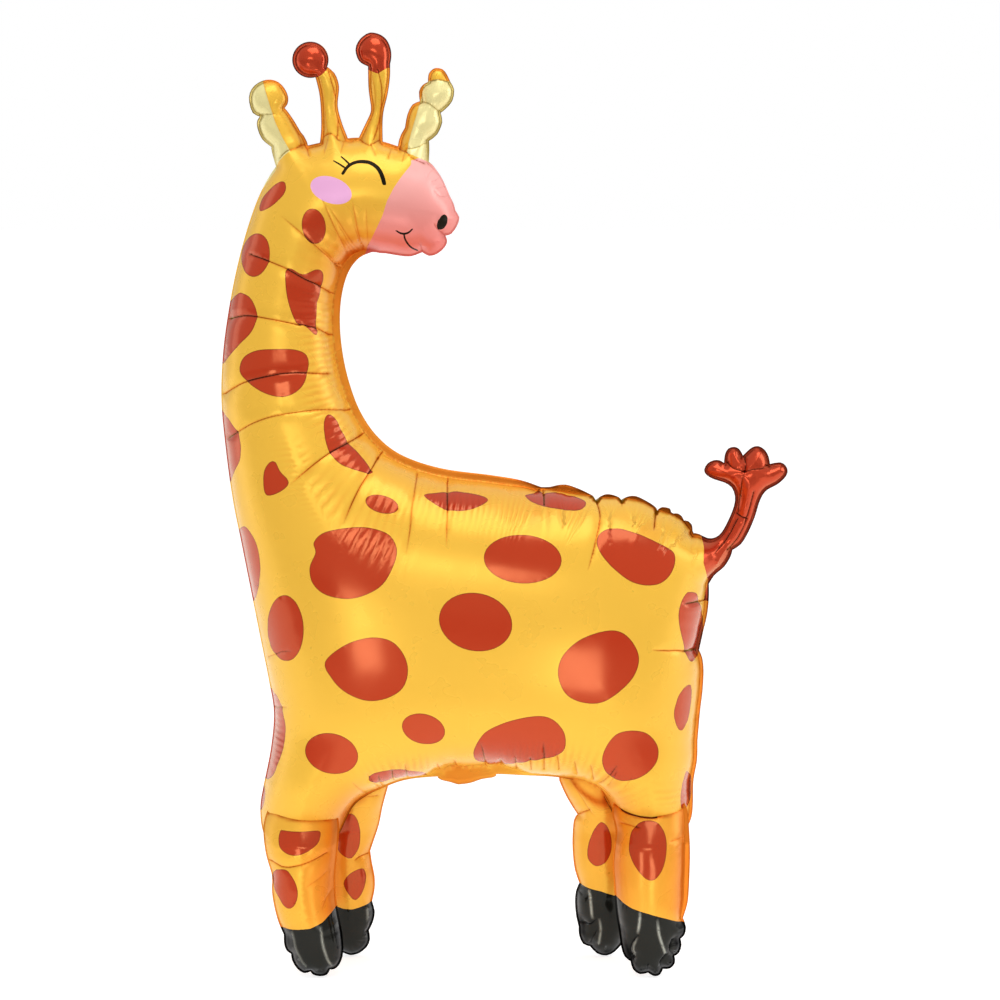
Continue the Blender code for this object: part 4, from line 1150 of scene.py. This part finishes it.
legs = {                     # edges: a pixel on the outline, the margin there and its weld orange and painted orange shade
    "nearFrontLeg": {
        "side": -1,
        "runs": [[(300, 782), (322, 789), (334, 804), (339, 822), (338, 845), (335.5, 870), (336, 890),
                  (338, 905), (342, 925), (343.5, 940)],
                 [(343.5, 940), (342.5, 949), (339, 957), (334, 961), (330, 961)],
                 [(330, 961), (327, 966), (320, 967.5), (313, 966), (310.5, 963)],
                 [(310.5, 963), (304, 964.5), (297, 960), (292, 952), (291, 946)],
                 [(291, 946), (286.5, 943), (284, 936), (283.8, 928)],
                 [(283.8, 928), (278.5, 916), (274.5, 902), (272, 887), (272, 872), (268.5, 860),
                  (265, 846), (263.5, 825), (268, 809), (278, 795), (300, 782)]],
        "hoof": [(255, 924), (282, 921.5), (297, 923.5), (310, 922.5), (323, 915.5), (333, 904.5),
                 (342, 895), (390, 960), (320, 1000), (255, 990)],
        "spots": [[(278.5, 836), (280, 829), (283, 828), (292, 829.5), (306, 829.5), (319, 828.5),
                   (321, 832), (318, 841), (308, 849), (297, 853), (287, 851.5), (280, 845)],
                  [(272.8, 869), (279, 865.6), (288, 868), (296, 880), (297.8, 891), (294, 901),
                   (288, 903), (280, 896), (274.5, 884)]],
        "folds": [([(267.6, 856), (276, 861), (287, 864), (307, 860), (327.8, 849.8)], 2.2, 2, 0.8),
                  ([(322, 905), (327, 893), (334, 882)], 1, 1.8, 0.4),
                  ([(305, 884), (316, 877), (327, 868)], 0.8, 1.8, 0.4),
                  ([(321, 918), (322.5, 935), (327, 950), (331, 957)], -1.2, 1.6, -0.6),
                  ([(292, 928), (297, 945), (306, 958)], -1, 1.4, -0.3)],
        "edges": [((262, 830), 0.0012, 0.3), ((270, 865), 0.0012, 0.3), ((272, 885), 0.0012, 0.3),
                  ((278, 914), 0.0014, 0.5), ((338, 840), 0.0012, 1.5), ((335.5, 870), 0.0012, 1.6),
                  ((338, 905), 0.0014, 1.5)],
        "seed": 101,
    },
    "farFrontLeg": {
        "side": 1,
        "runs": [[(358, 766), (380, 770), (388, 782), (385.5, 795), (382.5, 806), (379, 823),
                  (374, 838), (370.2, 849)],
                 [(370.2, 849), (372, 861), (374.6, 874), (374.6, 886), (372, 898)],
                 [(372, 898), (374.8, 908), (373, 918), (368.8, 926.6)],
                 [(368.8, 926.6), (370, 935), (366.5, 943), (359, 948.5)],
                 [(359, 948.5), (350.8, 950.5), (343, 948)],
                 [(343, 948), (333, 945), (328, 935), (326, 920), (324, 895), (323, 860), (324, 820),
                  (329, 790), (340, 770), (358, 766)]],
        "hoof": [(300, 898), (336.4, 903), (343, 905.5), (352.2, 906), (362.4, 903), (370, 899),
                 (390, 885), (400, 960), (340, 985), (300, 965)],
        "spots": [[(345, 815), (352, 813), (358, 820), (360.5, 832), (359, 846), (352, 856), (345, 855),
                   (338, 848), (336, 838), (339, 824)],
                  [(343.5, 881), (348, 873), (357, 867), (364, 866), (366.5, 875), (363, 889),
                   (355.5, 897), (349, 892)]],
        "folds": [([(354, 859), (361, 854.5), (371, 850)], 2.2, 1.8, 0.8),
                  ([(349, 806), (356, 800), (367, 797), (377, 796)], 1.4, 1.8, 0.5),
                  ([(367, 905), (368.5, 918), (365, 932)], -1.2, 1.4, -0.5)],
        "edges": [((383, 805), 0.0012, 0.6), ((376, 832), 0.0012, 0.8), ((373, 865), 0.0016, 1.1),
                  ((374, 890), 0.0014, 0.9), ((324, 890), 0.0012, 1.6), ((323, 850), 0.0012, 1.6),
                  ((326, 800), 0.0012, 1.6)],
        "seed": 131,
    },
    "nearHindLeg": {
        "side": -1,
        "runs": [[(652, 786), (675, 792), (686, 806), (688.5, 821), (690, 853), (689, 888),
                  (687.5, 906), (683, 921)],
                 [(683, 921), (686, 930), (684.5, 938), (680.5, 942)],
                 [(680.5, 942), (681.5, 949), (679, 957), (674.5, 960)],
                 [(674.5, 960), (675, 967), (670, 973), (663, 973.5)],
                 [(663, 973.5), (660, 979.5), (654, 981), (648, 977.5)],
                 [(648, 977.5), (640, 979), (633, 974), (630.5, 965.5)],
                 [(630.5, 965.5), (624.5, 960.5), (621, 950), (619, 935), (616, 915), (614.5, 897),
                  (613.5, 880), (612.5, 866), (614, 848), (615.5, 830), (612, 812), (617, 796),
                  (632, 787), (652, 786)]],
        "hoof": [(590, 884), (614.5, 897), (622.5, 905), (631.4, 910.5), (649.3, 917),
                 (667.1, 921.5), (680.5, 925), (710, 932), (710, 1000), (600, 1000)],
        "spots": [[(628.5, 846), (631, 832), (639, 823), (649, 820.5), (659, 824), (665.5, 836),
                   (666.8, 852), (663, 870), (655, 881.5), (646, 881), (636, 870), (630, 857)],
                  [(616, 801), (622, 800), (640, 807), (658, 817), (648, 819), (634, 816), (622, 811)]],
        "folds": [([(620, 823), (630, 825), (642, 829)], 1.2, 1.8, 0.6),
                  ([(668, 843), (676, 840), (685, 838)], 1.2, 1.8, 0.6),
                  ([(640, 913), (639.5, 925), (637, 938)], -1.2, 1.6, -0.9),
                  ([(657.5, 921), (659, 937), (665, 956)], -1.2, 1.6, -0.9),
                  ([(637, 940), (632, 950), (633, 964)], 1, 1.4, -0.5),
                  ([(631, 964), (628, 953), (634, 941), (641, 938)], 2.4, 1.8, 0.9),
                  ([(675, 960), (670, 953), (674, 943)], 2.4, 1.8, 0.9),
                  ([(663, 973.5), (660, 966), (666, 959)], 2.2, 1.6, 0.8),
                  ([(648, 977.5), (647, 970)], 2, 1.6, 0.8)],
        "edges": [((613, 812), 0.0012, 1.3), ((615, 835), 0.0012, 1.3), ((613, 875), 0.0012, 1.3),
                  ((614.5, 895), 0.0014, 1.2), ((688.5, 822), 0.0050, 1.2), ((690, 853), 0.0066, 1.3),
                  ((689, 888), 0.0066, 1.3), ((685, 915), 0.0050, 1.3)],
        "seed": 161,
    },
    "farHindLeg": {
        "side": 1,
        "runs": [[(590, 762), (612, 768), (626, 785), (633, 820), (636, 860), (636, 900), (632, 925),
                  (622, 944)],
                 [(622, 944), (615, 951.5), (606.3, 955.5), (597, 953.5), (590, 946.5)],
                 [(590, 946.5), (583, 944), (579, 935), (578.6, 926.7)],
                 [(578.6, 926.7), (577.5, 922), (576, 915), (575, 901.7), (576, 891), (579.3, 883)],
                 [(579.3, 883), (575, 870), (573, 855), (572.5, 838), (574, 820), (577.5, 814.4)],
                 [(577.5, 814.4), (569, 801), (562.5, 788), (559, 776), (568, 765), (590, 762)]],
        "hoof": [(560, 875), (579.6, 883), (589.5, 888), (600.2, 891), (613.6, 895.5), (650, 905),
                 (650, 975), (560, 975)],
        "spots": [[(601, 822), (607, 826), (611.5, 838), (611, 852), (605, 863), (596, 866), (588.5, 860),
                   (587, 850), (590, 838), (595, 828)]],
        "folds": [([(576, 815), (582, 812.5), (588.4, 810.6)], 2, 1.8, 0.7),
                  ([(568, 780), (577, 792), (590, 812), (598, 818)], 1.4, 2, 0.3),
                  ([(589.3, 890), (591, 904), (592, 920)], -1.2, 1.6, -0.9),
                  ([(598.7, 918), (600.6, 929), (598.7, 943)], -1.2, 1.6, -0.6),
                  ([(580, 922), (589, 924), (597, 918)], 2.4, 1.6, 0.9),
                  ([(590, 946.5), (592, 938), (598, 928)], 2, 1.6, 0.8)],
        "edges": [((566, 796), 0.0014, 0.8), ((577, 814), 0.0012, 0.7), ((572.5, 840), 0.0012, 0.6),
                  ((576, 872), 0.0014, 0.7), ((633, 820), 0.0012, 1.6), ((636, 870), 0.0012, 1.6)],
        "seed": 191,
    },
}


def legHeight(sheet):
    return blown["legFullness"] * sag(sheet)


def makeLeg(name, leg):
    middle = legMiddle(leg["side"])
    pixels = joinRuns(leg["runs"])

    def place(px):
        spot = unproject(px)
        for _ in range(3):
            spot = np.array([unproject([p], middle(q[1]))[0] for p, q in zip(px, spot)])
        return spot
    shape = place(pixels)
    lowest, top = shape[:, 1].min(), blown["hipHeight"]

    def level(points):
        # the soles of all four hooves stand on the floor
        z = points[:, 1]
        return np.column_stack([points[:, 0], z - lowest * np.clip((top - z) / (top - lowest), 0, 1)])
    shape = level(shape)
    hoofTop = place(leg["hoof"])[1:-2, 1].mean()
    # the hooves' edges get full painted shade
    knots = [(p, margins["hoof"], 1.4, 1.0, 0.9) for p in shape[::6] if p[1] < hoofTop]
    for pixel, margin, weldOrangeAndShade in leg["edges"]:
        knots.append((level(place([pixel]))[0], margin, 0.7, 0.4, weldOrangeAndShade))
    firstLeg = flatSheet([shape], coarse, knots)
    thick = Surface(firstLeg, legHeight(firstLeg))

    def lay(px):
        spot = place(px)
        for _ in range(3):
            y = middle(spot[:, 1]) - thick.at(spot)
            spot = np.array([unproject([p], depth)[0] for p, depth in zip(px, y)])
        return level(spot)
    marks = []
    for points in leg["spots"]:
        ring = lay(smoothRing(points))
        marks += [("spotRim", ring), ("spotFoil", inset(ring, rimWidth))]
    marks.append(("hoofFoil", lay(np.array(leg["hoof"], dtype=float))))
    lines = [(lay(smoothRun(fold[0])), *fold[1:]) for fold in leg["folds"]]
    sheet = flatSheet([shape], fineness, knots, [ring for _, ring in marks], [line[0] for line in lines])
    rise = legHeight(sheet)
    sides, looks = sheetSides(sheet, rise, lines, leg["seed"], middle)
    for side, look in zip(sides, looks):
        # painted shade: a dark crease where the leg comes out of the body
        proud = np.abs(side[:, 1]) - bodySkin.at(sheet["verts"])
        crease = paintedShadeAndLight["legCreaseShade"] * np.exp(-(proud / paintedShadeAndLight["legCrease"]) ** 2)
        look[:, 0] = np.maximum(look[:, 0], crease)
    names = ["yellowFoil", "spotFoil", "spotRim", "hoofFoil"]
    return closedSkin(name, sheet, sides, looks, materialOf(sheet, marks, names), names)


for name, leg in legs.items():
    made = makeLeg(name, leg)
    print(name, "blown:", len(made.data.polygons), "faces")


# The pale room and its soft lights
room = {
    "floor": 120.0,          # m across
    "floorColour": (0.60, 0.60, 0.60, 1.0),
    "floorRoughness": 0.7,
    "floorGlow": 0.72,
    "glowFrom": (-0.62, -0.40),          # y where the floor begins to glow, and glows in full
    "behind": 1.0,           # how bright the room is right behind the object and elsewhere
    "around": 0.62,
    "behindFrom": (0.955, 0.985),        # share of a look's direction that points backward
}
lamps = [                    # name, place, aim, size, watts
    ("keySoftbox", (-0.24, -2.73, 1.45), (0.0, 0.0, 0.55), (1.5, 0.55), 10),
    ("lowLeft", (-0.50, -1.20, 0.21), (-0.1, 0.0, 0.35), (0.24, 0.42), 1.2),
    ("lowRight", (0.27, -0.85, 0.13), (0.0, 0.0, 0.45), (0.24, 0.26), 0.7),
    ("topSoftbox", (0.3, -0.4, 2.6), (0.0, 0.0, 0.5), (1.8, 1.4), 23),
    ("rimLeft", (-2.2, 0.7, 1.0), (-0.1, 0.0, 0.5), (0.7, 2.0), 3),
    ("rimRight", (2.2, 0.5, 1.2), (0.1, 0.0, 0.5), (0.9, 1.6), 11),
]


def addFloor():
    half = room["floor"] / 2
    mesh = bpy.data.meshes.new("floor")
    mesh.from_pydata([(-half, -half, 0), (half, -half, 0), (half, half, 0), (-half, half, 0)], [],
                     [(0, 1, 2, 3)])
    floor = bpy.data.objects.new("floor", mesh)
    bpy.context.scene.collection.objects.link(floor)
    paint = bpy.data.materials.new("paleFloor")
    build = NodeBuild(paint)
    surface = build.nodes["Principled BSDF"].inputs
    surface["Base Color"].default_value = room["floorColour"]
    surface["Roughness"].default_value = room["floorRoughness"]
    surface["Emission Strength"].default_value = room["floorGlow"]
    place = build.node("ShaderNodeTexCoord", output=3)
    depth = build.node("ShaderNodeSeparateXYZ", None, [place], 1)
    build.set(surface["Emission Color"], build.range(depth, *room["glowFrom"]))
    mesh.materials.append(paint)


def addWorld():
    world = bpy.data.worlds.new("room")
    bpy.context.scene.world = world
    build = NodeBuild(world)
    direction = build.node("ShaderNodeTexCoord")
    depth = build.node("ShaderNodeSeparateXYZ", None, [direction], 1)
    background = build.nodes["Background"].inputs
    background["Color"].default_value = (1, 1, 1, 1)
    bright = build.range(depth, *room["behindFrom"], room["around"], room["behind"])
    build.set(background["Strength"], bright)


def addLamp(name, place, aim, size, watts):
    light = bpy.data.lights.new(name, "AREA")
    light.shape = "RECTANGLE"
    light.size, light.size_y = size
    light.energy = watts
    lamp = bpy.data.objects.new(name, light)
    lamp.location = place
    lamp.visible_camera = False
    lamp.rotation_euler = (Vector(aim) - Vector(place)).to_track_quat("-Z", "Y").to_euler()
    bpy.context.scene.collection.objects.link(lamp)


addFloor()
addWorld()
for lamp in lamps:
    addLamp(*lamp)
bpy.context.scene.view_settings.view_transform = "Standard"
print("room lit")
